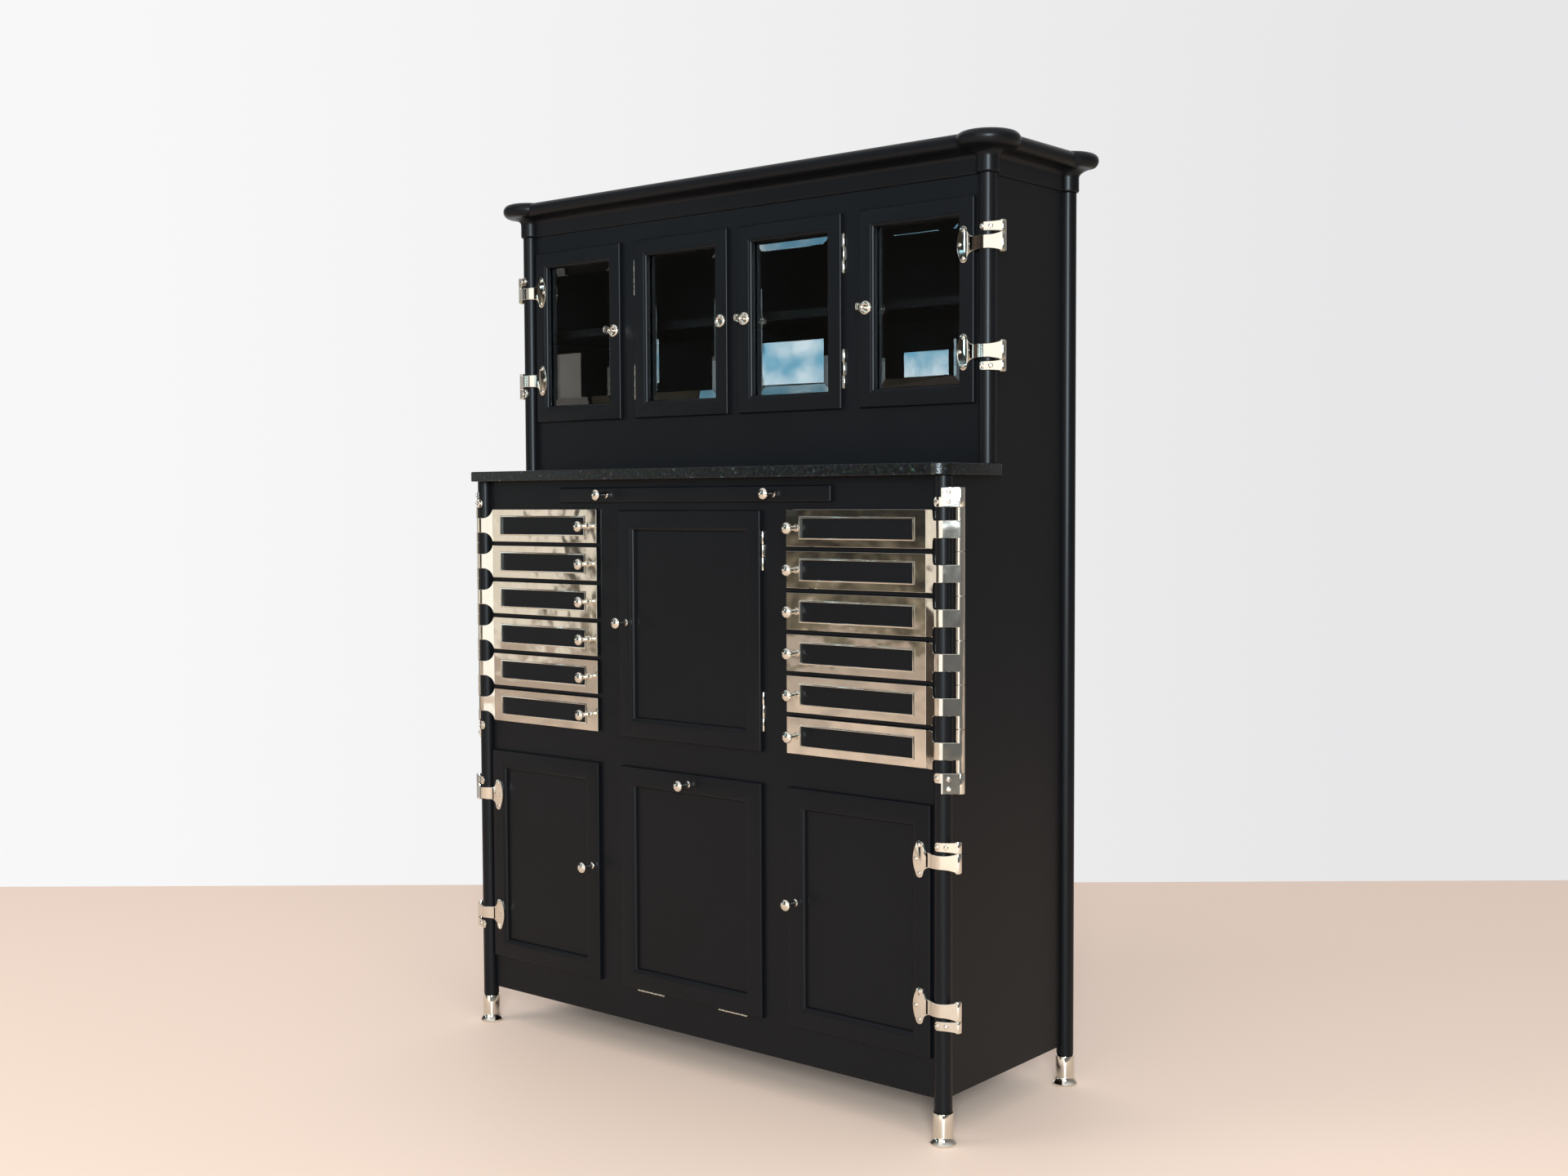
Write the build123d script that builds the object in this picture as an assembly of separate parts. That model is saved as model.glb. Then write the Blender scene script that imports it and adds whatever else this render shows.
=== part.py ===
from build123d import *
from math import acos, asin, atan2, cos, degrees, hypot, radians, sin, sqrt
import os

os.makedirs("parts", exist_ok=True)

# Case and posts. Plan coordinates start at the centre of the front posts.
total_height = 1537.0
upper_height = 505.0
post_span = 1030.0
post_depth = 358.0
upper_setback = 120.0
post_d = 28.0
ferrule_height = 50.0
ferrule_top_d = 31.0
ferrule_flare_d = 41.0
ferrule_waist_z = 16.0
ferrule_toe_z = 3.0
ferrule_sole_inset = 2.0
underside_z = 67.0
board_t = 18.0
frame_t = 20.0
back_t = 8.0

# Counter and cornice
counter_t = 18.0
counter_side_overhang = 21.0
counter_front_overhang = 31.0
counter_corner_r = 27.0
counter_back_corner_r = 8.0
counter_arris = 1.5
cornice_height = 61.0
cornice_projection = 36.0
cornice_cap_r = 51.0
cornice_cap_rise = 1.0
cornice_nose_t = 25.0
cornice_cove_h = 12.0
cornice_foot_r = 3.0
cornice_foot_out = 4.0
cornice_seat = 18.0
lid_t = 16.0

# Doors, all lipped over the face frame
door_front = 8.0
door_core_depth = 10.0
door_lip = 11.0
door_seat_gap = 0.4
door_play = 1.5
door_edge_r = 3.0
panel_frame_w = 35.0
panel_ovolo = 7.0
panel_recess = 8.0
panel_t = 6.0
bottom_rail_h = 61.0
middle_rail_h = 52.0
top_rail_h = 53.0
centre_door_h = 393.0
side_door_w = 280.0
side_door_outer_gap = 19.0
centre_door_side_gap = 55.0
bank_inner_lip = 2.0
bank_outer_lip = 6.0
side_core_play = 6.0
centre_knob_rise = 2.5
side_knob_rise = 9.0

# Glass doors of the upper cupboard
apron_height = 94.0
glass_door_top_gap = 31.5
glass_door_outer_gap = 20.5
glass_door_mid_gap = 25.0
glass_door_pair_gap = 36.0
glass_frame_w = 30.0
glass_t = 5.0
glass_bevel_w = 15.0
glass_bevel_depth = 2.2
glass_recess = 12.0
glass_play = 0.3
glass_rebate = 4.0
glass_lip = 10.0
glass_ovolo = 6.0
glazing_bead_t = 4.0
lock_rise = 1.5

# Swing-out drawers on the two hinge rods
drawer_count = 6
drawer_bank_trim = 1.0
drawer_bank_drop = 51.0
drawer_rail_t = 6.4
face_outer_gap = 8.0
face_gap = 7.4
face_front = 7.0
face_t = 2.0
face_window_rail = 14.5
face_window_inset = 30.0
face_window_outer = 24.0
face_rim_w = 3.0
face_rim_t = 2.0
tray_play = 0.8
tray_height_play = 1.1
tray_outer_play = 4.0
tray_swing_play = 3.3
tray_wall_segments = 5
tray_head_room = 14.0
tray_back_gap = 110.0
tray_floor_t = 5.0
tray_wall_t = 6.0
tray_front_t = 10.0
rod_d = 8.0
rod_out = 24.3
rod_back = 8.0
barrel_d = 15.6
barrel_gap = 0.6
running_gap = 0.05
band_height = 26.5
band_t = 2.0
band_post_gap = 0.6
face_wrap_start = -112.0
flare_start = 18.5
top_bracket_height = 29.0
bottom_bracket_height = 31.0
bracket_tab_height = 15.0
bracket_tab_start = -116.0
bracket_strap_start = -67.0
bracket_low_screw = 8.0
bracket_high_screw = 22.5
bracket_tab_screw_turn = -94.0

# Wrap hinges of the outer doors
pin_d = 5.0
pin_out = 26.5
knuckle_d = 12.0
leaf_height = 57.0
leaf_w = 28.5
leaf_tip_d = 13.0
leaf_tip_out = 16.5
leaf_t = 2.5
leaf_edge_inset = 1.5
arm_height = 23.0
arm_wrap_start = -111.5
arm_knuckle_height = 29.0
clamp_height = 15.0
clamp_knuckle_height = 17.0
clamp_t = 2.5
clamp_wrap_start = -107.0
clamp_screw_turn = -93.0
hinge_gap = 0.4
pin_head_t = 1.5
pin_head_inset = 1.5
low_hinge_rise = 80.0
low_hinge_drop = 83.0
glass_hinge_rise = 79.0
glass_hinge_drop = 74.5

# Butt hinges of the inner doors and the bin
butt_length = 63.0
butt_knuckle_d = 4.6
butt_pin_d = 2.2
butt_pin_end = 0.6
butt_axis_out = 2.4
butt_leaf_t = 1.6
butt_foot_t = 1.2
butt_foot_w = 8.0
butt_foot_inset = 1.8
butt_edge_gap = 2.6
butt_end_inset = 34.0
bin_butt_inset = 67.0

# Knobs, locks and keys
knob_length = 30.0
knob_head_d = 19.6
knob_head_t = 10.0
knob_rosette_d = 12.0
knob_rosette_t = 3.6
knob_rosette_rim_t = 1.2
knob_rosette_shoulder = 1.2
knob_stem_d = 8.0
knob_inset = 17.0
drawer_knob_inset = 21.0
lock_d = 24.0
lock_t = 3.0
lock_rim_t = 1.2
lock_rim_w = 2.5
lock_barrel_d = 8.0
lock_barrel_short = 1.0
key_shank_d = 4.0
key_length = 10.0
key_insert = 9.0
key_end_play = 0.3
key_bow_d = 16.0
key_bow_t = 2.6
key_bow_hole_d = 6.0
key_bow_overlap = 1.6
key_hole_out = 8.8
key_collar_d = 6.6
key_collar_t = 3.0
key_collar_out = 3.5
screw_d = 8.0
screw_t = 0.9
leaf_screw_d = 7.0
screw_link_share = 0.3

# Pull-out board, bin and shelves
slide_side_gap = 208.0
slide_strip_height = 26.5
slide_drop = 39.5
slide_board_t = 20.0
slide_lip = 7.0
slide_back_gap = 20.0
slide_play = 0.5
slide_knob_inset = 117.0
dust_board_t = 10.0
guide_w = 16.0
bin_depth = 200.0
bin_wall_t = 6.0
bin_side_play = 2.5
bin_top_play = 10.0
bin_back_drop = 95.0
partition_gap = 27.5
shelf_rise = 253.0
shelf_t = 14.0
shelf_front_gap = 12.0
cleat_height = 10.0
cleat_w = 12.0

# Values worked out from the sizes above
half = post_span / 2
post_r = post_d / 2
side_in = half - board_t
frame_end = half - post_r
case_back = post_depth
case_in_back = post_depth - back_t
counter_top_z = total_height - upper_height
deck_z = counter_top_z - counter_t
cornice_bottom_z = total_height - cornice_height
upper_y = upper_setback
rear_y = post_depth
front_reach = door_front + knob_length
back_reach = post_depth + post_r
foot_reach = post_depth + ferrule_flare_d / 2
y_mid = (foot_reach - front_reach) / 2
door_outer_x = half - side_door_outer_gap
door_inner_x = door_outer_x - side_door_w
opening_outer_x = door_outer_x - bank_outer_lip
opening_inner_x = door_inner_x + bank_inner_lip
centre_half = door_inner_x - centre_door_side_gap
centre_opening = centre_half - door_lip
partition_x = door_inner_x - partition_gap
row_low = (underside_z + bottom_rail_h, deck_z - top_rail_h - centre_door_h - middle_rail_h)
row_mid = (deck_z - top_rail_h - centre_door_h, deck_z - top_rail_h)
low_opening = (row_low[0] + door_lip, row_low[1] - door_lip)
mid_opening = (row_mid[0] + door_lip, row_mid[1] - door_lip)
low_hinge_z = (row_low[0] + low_hinge_rise, row_low[1] - low_hinge_drop)
face_inner_x = door_inner_x
face_outer_x = door_outer_x - face_outer_gap
deck_mid_z = (low_opening[1] + mid_opening[0]) / 2 - board_t / 2
slide_strip_z = deck_z - slide_drop
slide_board_z = slide_strip_z + (slide_strip_height - slide_board_t) / 2
dust_top_z = slide_board_z - door_seat_gap
slide_top_z = slide_board_z + slide_board_t + slide_play
slide_strip_half = half - slide_side_gap
slide_half = slide_strip_half - slide_lip
drawer_bank_h = centre_door_h - drawer_bank_trim
drawer_rails_h = (drawer_count - 1) * drawer_rail_t
drawer_opening_height = (drawer_bank_h - drawer_rails_h) / drawer_count
drawer_pitch = drawer_opening_height + drawer_rail_t
drawer_top_z = deck_z - drawer_bank_drop
drawer_first_z = drawer_top_z - drawer_opening_height / 2
drawer_z = [drawer_first_z - i * drawer_pitch for i in range(drawer_count)]
face_height = drawer_pitch - face_gap
face_window_height = face_height - 2 * face_window_rail
tray_height = drawer_opening_height - tray_head_room
drawer_low_z = drawer_z[-1] - drawer_opening_height / 2
rod_top_z = drawer_z[0] + drawer_pitch / 2
rod_bottom_z = drawer_z[-1] - drawer_pitch / 2
glass_door_z = (counter_top_z + apron_height, cornice_bottom_z - glass_door_top_gap)
glass_opening_z = (glass_door_z[0] + glass_lip, glass_door_z[1] - glass_lip)
glass_hinge_z = (glass_door_z[0] + glass_hinge_rise, glass_door_z[1] - glass_hinge_drop)
glass_outer_end = half - glass_door_outer_gap
glass_door_w = (glass_outer_end - glass_door_mid_gap / 2 - glass_door_pair_gap) / 2
inner_glass_x = (glass_door_mid_gap / 2, glass_door_mid_gap / 2 + glass_door_w)
outer_glass_x = (glass_outer_end - glass_door_w, glass_outer_end)
lock_inset = glass_frame_w / 2
lock_z = (glass_door_z[0] + glass_door_z[1]) / 2 + lock_rise


def box(x0, x1, y0, y1, z0, z1):
    """A board between two corners."""
    size = Box(x1 - x0, y1 - y0, z1 - z0)
    return Pos((x0 + x1) / 2, (y0 + y1) / 2, (z0 + z1) / 2) * size


def upright(x, y, z0, z1, radius):
    """A vertical round."""
    return Pos(x, y, (z0 + z1) / 2) * Cylinder(radius, z1 - z0)


def along_y(x, z, y0, y1, radius):
    """A round that runs from front to back."""
    return Pos(x, (y0 + y1) / 2, z) * Rot(90, 0, 0) * Cylinder(radius, y1 - y0)


def prism(plan, z0, z1):
    """A board with the given outline in plan."""
    face = make_face(Polyline([(x, y, z0) for x, y in plan], close=True))
    return extrude(face, amount=z1 - z0, dir=(0, 0, 1))


def turned(points, x, y, z=0.0):
    """A piece turned about a vertical line from (radius, height) points."""
    outline = Polyline([(r, 0, h) for r, h in points], close=True)
    return Pos(x, y, z) * revolve(make_face(outline), Axis.Z)


def left(shape):
    """The mirrored copy on the left of the cabinet."""
    return mirror(shape, about=Plane.YZ)


def both(shapes):
    """The shapes and their mirrored copies."""
    return list(shapes) + [left(s) for s in shapes]


def save(name, shapes):
    """Write one sub-part, each piece a separate solid, about the cabinet's centre."""
    solids = [Pos(0, -y_mid, 0) * s for shape in shapes for s in shape.solids()]
    export_step(Compound(solids), "parts/" + name + ".step")


# Corner posts, each a long round that stands proud of both faces
def corner_posts():
    rights = [
        upright(half, 0, ferrule_height, deck_z, post_r),
        upright(half, upper_y, counter_top_z, cornice_bottom_z, post_r),
        upright(half, rear_y, ferrule_height, cornice_bottom_z, post_r),
    ]
    return both(rights)


# Turned metal ferrule under each post
def foot_ferrules():
    top_r = ferrule_top_d / 2
    flare_r = ferrule_flare_d / 2
    heights = [(top_r, ferrule_height), (top_r, ferrule_waist_z)]
    steps = 5
    for i in range(1, steps + 1):
        share = i / steps
        radius = top_r + (flare_r - top_r) * share ** 2
        heights.append((radius, ferrule_waist_z + (ferrule_toe_z - ferrule_waist_z) * share))
    outline = [(0, ferrule_height)] + heights + [(flare_r - ferrule_sole_inset, 0), (0, 0)]
    return both([turned(outline, half, y) for y in (0, rear_y)])


# L-shaped sides, with the narrow strips that close the corner behind each post
def side_panels():
    strip = frame_t - post_r
    side_back = rear_y - post_r
    rights = [
        box(side_in, half, frame_t, side_back, underside_z, deck_z),
        box(side_in, half, upper_y + frame_t, side_back, deck_z, cornice_bottom_z),
        box(frame_end, half, frame_t - strip, frame_t, underside_z, deck_z),
        box(frame_end, half, upper_y + frame_t - strip, upper_y + frame_t, deck_z, cornice_bottom_z),
    ]
    return both(rights)


def back_panel():
    return [box(-frame_end, frame_end, case_in_back, case_back, underside_z, cornice_bottom_z)]


# Bottom, decks, partitions, shelf and its cleats
def carcass_boards():
    y0 = frame_t
    y1 = case_in_back
    dust_z = dust_top_z - dust_board_t
    px0 = partition_x - board_t / 2
    px1 = partition_x + board_t / 2
    upper_floor_y = upper_y + post_r
    upper_in = upper_y + frame_t
    top_z = cornice_bottom_z - board_t
    wide = [
        box(-side_in, side_in, y0, y1, underside_z, underside_z + board_t),
        box(-side_in, side_in, y0, y1, deck_mid_z, deck_mid_z + board_t),
        box(-side_in, side_in, y0, y1, dust_z, dust_top_z),
        box(-side_in, side_in, upper_floor_y, y1, deck_z, counter_top_z),
        box(-side_in, side_in, upper_in, y1, top_z, cornice_bottom_z),
        box(-board_t / 2, board_t / 2, upper_in, y1, counter_top_z, top_z),
    ]
    guide_x = slide_half + slide_play
    shelf_x = board_t / 2
    shelf_front = upper_in + shelf_front_gap
    shelf_z = counter_top_z + shelf_rise
    pairs = [
        box(px0, px1, y0, y1, underside_z + board_t, deck_mid_z),
        box(px0, px1, y0, y1, deck_mid_z + board_t, dust_z),
        box(guide_x, guide_x + guide_w, y0, y1, dust_top_z, slide_top_z),
        box(shelf_x, side_in, shelf_front, y1, shelf_z, shelf_z + shelf_t),
        box(side_in - cleat_w, side_in, shelf_front, y1, shelf_z - cleat_height, shelf_z),
        box(shelf_x, shelf_x + cleat_w, shelf_front, y1, shelf_z - cleat_height, shelf_z),
    ]
    return wide + both(pairs)


# Stiles and rails of the lower front
def lower_face_frame():
    low0, low1 = low_opening
    mid0, mid1 = mid_opening
    t = frame_t
    centre = [
        box(-opening_outer_x, opening_outer_x, 0, t, underside_z, low0),
        box(-centre_opening, centre_opening, 0, t, low1, mid0),
        box(-centre_opening, centre_opening, 0, t, mid1, drawer_top_z),
        box(-opening_outer_x, opening_outer_x, 0, t, drawer_top_z, dust_top_z),
        box(-opening_outer_x, opening_outer_x, 0, t, slide_top_z, deck_z),
    ]
    slide_side = slide_half + slide_play
    rights = [
        box(opening_outer_x, frame_end, 0, t, underside_z, deck_z),
        box(centre_opening, opening_inner_x, 0, t, low0, drawer_top_z),
        box(opening_inner_x, opening_outer_x, 0, t, low1, drawer_low_z),
        box(slide_side, opening_outer_x, 0, t, dust_top_z, slide_top_z),
    ]
    for upper, lower in zip(drawer_z, drawer_z[1:]):
        rail0 = lower + drawer_opening_height / 2
        rail1 = upper - drawer_opening_height / 2
        rights.append(box(opening_inner_x, opening_outer_x, 0, t, rail0, rail1))
    return centre + both(rights)


# Stiles and rails of the upper front, with the plain apron above the counter
def upper_face_frame():
    z0, z1 = glass_opening_z
    y0 = upper_y
    y1 = upper_y + frame_t
    middle = inner_glass_x[0] + glass_lip
    between0 = inner_glass_x[1] - glass_lip
    between1 = outer_glass_x[0] + glass_lip
    outer = outer_glass_x[1] - glass_lip
    centre = [
        box(-frame_end, frame_end, y0, y1, counter_top_z, z0),
        box(-frame_end, frame_end, y0, y1, z1, cornice_bottom_z),
        box(-middle, middle, y0, y1, z0, z1),
    ]
    rights = [
        box(between0, between1, y0, y1, z0, z1),
        box(outer, frame_end, y0, y1, z0, z1),
    ]
    return centre + both(rights)


# Stone counter with rounded front corners and softened arrises
def counter_top():
    x1 = half + counter_side_overhang
    slab = box(-x1, x1, -counter_front_overhang, upper_y + post_r, deck_z, counter_top_z)
    uprights = slab.edges().filter_by(Axis.Z).sort_by(Axis.Y)
    slab = fillet(uprights[:2], counter_corner_r)
    uprights = slab.edges().filter_by(Axis.Z).sort_by(Axis.Y)
    slab = fillet(uprights[-2:], counter_back_corner_r)
    rims = slab.faces().sort_by(Axis.Z)
    edges = rims[0].edges() + rims[-1].edges()
    return [fillet(edges, counter_arris)]


# Crown moulding: a bullnose over a cove and a plain foot, with a turned cap above each post
def crown_points(reach, foot, top):
    """Half outline of the crown as (distance out, height) points, from the top down."""
    nose_r = cornice_nose_t / 2
    nose_z = top - nose_r
    nose_x = reach - nose_r
    points = []
    nose_steps = 8
    for i in range(nose_steps + 1):
        turn = radians(90 - 180 * i / nose_steps)
        points.append((nose_x + nose_r * cos(turn), nose_z + nose_r * sin(turn)))
    cove_top = top - cornice_nose_t
    cove_w = nose_x - foot
    cove_steps = 5
    for i in range(1, cove_steps + 1):
        turn = radians(90 * i / cove_steps)
        drop = cornice_cove_h * (1 - cos(turn))
        points.append((foot + cove_w * (1 - sin(turn)), cove_top - drop))
    foot_r = cornice_foot_r
    foot_steps = 3
    for i in range(foot_steps + 1):
        turn = radians(90 * i / foot_steps)
        rise = foot_r * (1 - sin(turn))
        points.append((foot - foot_r * (1 - cos(turn)), cornice_bottom_z + rise))
    return points


def cornice_cap(y):
    top = total_height
    points = crown_points(cornice_cap_r, post_r + cornice_foot_out, top)
    cap = turned([(0, top)] + points + [(0, cornice_bottom_z)], half, y)
    behind = box(0, 2 * half, back_reach, back_reach + cornice_cap_r, cornice_bottom_z, top)
    return cap - behind


def cornice():
    top = total_height - cornice_cap_rise
    points = crown_points(cornice_projection, cornice_foot_out, top)
    points = [(-cornice_seat, top)] + points + [(-cornice_seat, cornice_bottom_z)]
    caps = [cornice_cap(upper_y), cornice_cap(rear_y)]
    front_face = make_face(Polyline([(half, upper_y - p, z) for p, z in points], close=True))
    front = extrude(front_face, amount=post_span, dir=(-1, 0, 0))
    side_face = make_face(Polyline([(half + p, upper_y, z) for p, z in points], close=True))
    side = extrude(side_face, amount=back_reach - upper_y, dir=(0, 1, 0))
    inner = half - cornice_seat
    for cap in caps:
        front = front - cap
        side = side - cap
    front = front - left(caps[0])
    lid = box(-inner, inner, upper_y + cornice_seat, back_reach, top - lid_t, top)
    rail = box(-inner, inner, case_in_back, back_reach, cornice_bottom_z, top - lid_t)
    for cap in both(caps):
        lid = lid - cap
        rail = rail - cap
    front = largest(front - side - left(side))
    return [front, lid, rail] + both([largest(side)] + caps)


def largest(shape):
    """The biggest solid, where a cut leaves a sliver beside it."""
    return shape.solids().sort_by(SortBy.VOLUME)[-1]


# Direction in which a strap leaves the post for its barrel
def link_turn(outer_r, centre, barrel_r):
    lean = acos((outer_r - barrel_r) / hypot(*centre))
    return degrees(atan2(centre[1], centre[0]) - lean)


# A plan outline that wraps the outside of a post and ends at a barrel
def wrap_band(inner_r, thickness, start_angle, centre, barrel_r, height, lead=None):
    """Band about a post at the origin. lead is the plate end (x, outer y) that it starts from."""
    outer_r = inner_r + thickness
    turn = link_turn(outer_r, centre, barrel_r)
    way = (cos(radians(turn)), sin(radians(turn)))
    annulus = Circle(outer_r) - Circle(inner_r)
    reach = 3 * outer_r
    steps = 6
    fan = [(0, 0)]
    for i in range(steps + 1):
        angle = radians(start_angle + (turn - start_angle) * i / steps)
        fan.append((reach * cos(angle), reach * sin(angle)))
    sector = annulus & make_face(Polyline(fan, close=True))
    near = barrel_r - thickness
    link = [
        (outer_r * way[0], outer_r * way[1]),
        (centre[0] + barrel_r * way[0], centre[1] + barrel_r * way[1]),
        (centre[0] + near * way[0], centre[1] + near * way[1]),
        (inner_r * way[0], inner_r * way[1]),
    ]
    plan = sector + make_face(Polyline(link, close=True))
    band = Pos(0, 0, -height / 2) * extrude(plan, amount=height, dir=(0, 0, 1))
    if lead is None:
        return band
    start = (cos(radians(start_angle)), sin(radians(start_angle)))
    ramp = [
        (lead[0], lead[1]),
        (outer_r * start[0], outer_r * start[1]),
        (inner_r * start[0], inner_r * start[1]),
        (lead[0], lead[1] + thickness),
    ]
    return band, make_face(Polyline(ramp, close=True))


# Nickel face of a drawer: framed plate, flared arm round the post, barrel and knob
def drawer_face():
    """Face of a right-hand drawer, about the drawer's centre height."""
    barrel_r = barrel_d / 2
    x0 = face_inner_x
    x1 = face_outer_x
    y0 = -face_front
    plate = box(x0, x1, y0, y0 + face_t, -face_height / 2, face_height / 2)
    wx0 = x0 + face_window_inset
    wx1 = x1 - face_window_outer
    wz = face_window_height / 2
    window = box(wx0, wx1, y0 - 1, y0 + face_t + 1, -wz, wz)
    plate = plate - window
    rw = face_rim_w
    rim_out = box(wx0 - rw, wx1 + rw, y0 - face_rim_t, y0, -wz - rw, wz + rw)
    rim = rim_out - box(wx0, wx1, y0 - face_rim_t - 1, y0 + 1, -wz, wz)
    inner_r = post_r + band_post_gap
    centre = (rod_out, rod_back)
    lead = (x1 - half, y0)
    band, ramp = wrap_band(inner_r, band_t, face_wrap_start, centre, barrel_r, band_height, lead)
    flare = extrude(ramp, amount=face_height, dir=(0, 0, 1))
    flare = Pos(0, 0, -face_height / 2) * flare
    scoop_r = (face_height - band_height) / 2
    scoop_x = lead[0] + flare_start
    for side in (-1, 1):
        flare = flare - along_y(scoop_x, side * face_height / 2, -3 * post_r, post_r, scoop_r)
    past_scoop = box(scoop_x, 0, -3 * post_r, 0, -face_height / 2, face_height / 2)
    past_scoop = past_scoop - box(scoop_x, 0, -3 * post_r, 0, -band_height / 2, band_height / 2)
    flare = flare - past_scoop
    barrel_half = (drawer_pitch - barrel_gap) / 2
    barrel = upright(rod_out, rod_back, -barrel_half, barrel_half, barrel_r)
    bore = upright(rod_out, rod_back, -drawer_pitch, drawer_pitch, rod_d / 2 + running_gap)
    arm = Pos(half, 0, 0) * ((band + flare + barrel) - bore)
    face = plate + rim + arm
    knob = knob_at(x0 + drawer_knob_inset, y0, 0)
    return [face, knob]


# Turned knob with its rosette
def knob_at(x, y, z):
    """Knob that stands forward from a front at y."""
    head_r = knob_head_d / 2
    rosette_r = knob_rosette_d / 2
    stem_r = knob_stem_d / 2
    points = [
        (0, 0),
        (rosette_r, 0),
        (rosette_r, knob_rosette_rim_t),
        (rosette_r - knob_rosette_shoulder, knob_rosette_t),
        (stem_r, knob_rosette_t),
    ]
    head_z = knob_length - knob_head_t / 2
    start = -acos(stem_r / head_r)
    head_steps = 10
    for i in range(head_steps):
        turn = start + (radians(90) - start) * i / head_steps
        points.append((head_r * cos(turn), head_z + knob_head_t / 2 * sin(turn)))
    points.append((0, knob_length))
    return Pos(x, y, z) * Rot(90, 0, 0) * turned(points, 0, 0)


# Wooden tray with a curved inner wall that clears the opening as it swings
def drawer_tray():
    """Tray of a right-hand drawer, about the drawer's centre height."""
    pivot_x = half + rod_out
    inner_x = opening_inner_x + tray_play
    outer_x = opening_outer_x - tray_outer_play
    front_z = drawer_opening_height / 2 - tray_height_play
    front = box(inner_x, outer_x, -face_front + face_t, tray_front_t, -front_z, front_z)
    z0 = 2 * tray_height_play - drawer_opening_height / 2
    z1 = z0 + tray_floor_t
    z2 = z0 + tray_height
    tray_depth = case_in_back - tray_back_gap
    back_y = tray_depth - tray_wall_t
    swing_r = pivot_x - opening_inner_x - tray_swing_play
    inside_r = swing_r - tray_wall_t
    low = asin((tray_front_t - rod_back) / swing_r)
    high = asin((back_y - rod_back) / swing_r)
    outside = []
    inside = []
    for i in range(tray_wall_segments + 1):
        turn = low + (high - low) * i / tray_wall_segments
        outside.append((pivot_x - swing_r * cos(turn), rod_back + swing_r * sin(turn)))
        inside.append((pivot_x - inside_r * cos(turn), rod_back + inside_r * sin(turn)))
    inside[0] = (pivot_x - sqrt(inside_r ** 2 - (tray_front_t - rod_back) ** 2), tray_front_t)
    inside[-1] = (pivot_x - sqrt(inside_r ** 2 - (back_y - rod_back) ** 2), back_y)
    end = (pivot_x - sqrt(swing_r ** 2 - (tray_depth - rod_back) ** 2), tray_depth)
    floor = [(outer_x, tray_depth), (outer_x, tray_front_t)] + outside + [end]
    back = [outside[-1], (outer_x, back_y), (outer_x, tray_depth), end]
    side = box(outer_x - tray_wall_t, outer_x, tray_front_t, back_y, z1, z2)
    pieces = [front, side, prism(floor, z0, z1), prism(back, z1, z2)]
    for i in range(tray_wall_segments):
        plan = [outside[i], outside[i + 1], inside[i + 1], inside[i]]
        pieces.append(prism(plan, z1, z2))
    return pieces


# Hinge rods, with the bracket that holds each end to the post
def hinge_bracket(height, tab_z):
    """Bracket on a right-hand post from z 0 up, with its short tab centred at tab_z."""
    barrel_r = barrel_d / 2
    centre = (rod_out, rod_back)
    strap = wrap_band(post_r, band_t, bracket_strap_start, centre, barrel_r, height)
    tab = wrap_band(post_r, band_t, bracket_tab_start, centre, barrel_r, bracket_tab_height)
    body = Pos(0, 0, height / 2) * strap + Pos(0, 0, tab_z) * tab
    body = body + upright(rod_out, rod_back, 0, height, barrel_r)
    seat = post_r + band_t
    screws = [
        screw_on_link(seat, centre, barrel_r, bracket_low_screw),
        screw_on_link(seat, centre, barrel_r, bracket_high_screw),
        screw_on_post(seat, bracket_tab_screw_turn, tab_z),
    ]
    return [body] + screws


def screw_on_post(seat, angle, z):
    """Screw head on a strap bent round the post."""
    head = Pos(seat, 0, 0) * Rot(0, 90, 0) * Cylinder(screw_d / 2, 2 * screw_t)
    head = head - upright(0, 0, -screw_d, screw_d, seat)
    return Pos(0, 0, z) * Rot(0, 0, angle) * head


def screw_on_link(seat, centre, barrel_r, z):
    """Screw head on the flat part of a strap, between the post and the barrel."""
    turn = link_turn(seat, centre, barrel_r)
    along = screw_link_share * hypot(*centre)
    head = Pos(seat + screw_t / 2, along, 0) * Rot(0, 90, 0) * Cylinder(screw_d / 2, screw_t)
    return Pos(0, 0, z) * Rot(0, 0, turn) * head


def drawer_hinge_rods():
    rod = upright(half + rod_out, rod_back, rod_bottom_z, rod_top_z, rod_d / 2)
    top = hinge_bracket(top_bracket_height, bracket_tab_height / 2)
    bottom = hinge_bracket(bottom_bracket_height, bottom_bracket_height - bracket_tab_height / 2)
    pieces = [rod]
    pieces += [Pos(half, 0, rod_top_z) * s for s in top]
    pieces += [Pos(half, 0, rod_bottom_z - bottom_bracket_height) * s for s in bottom]
    return both(pieces)


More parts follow.
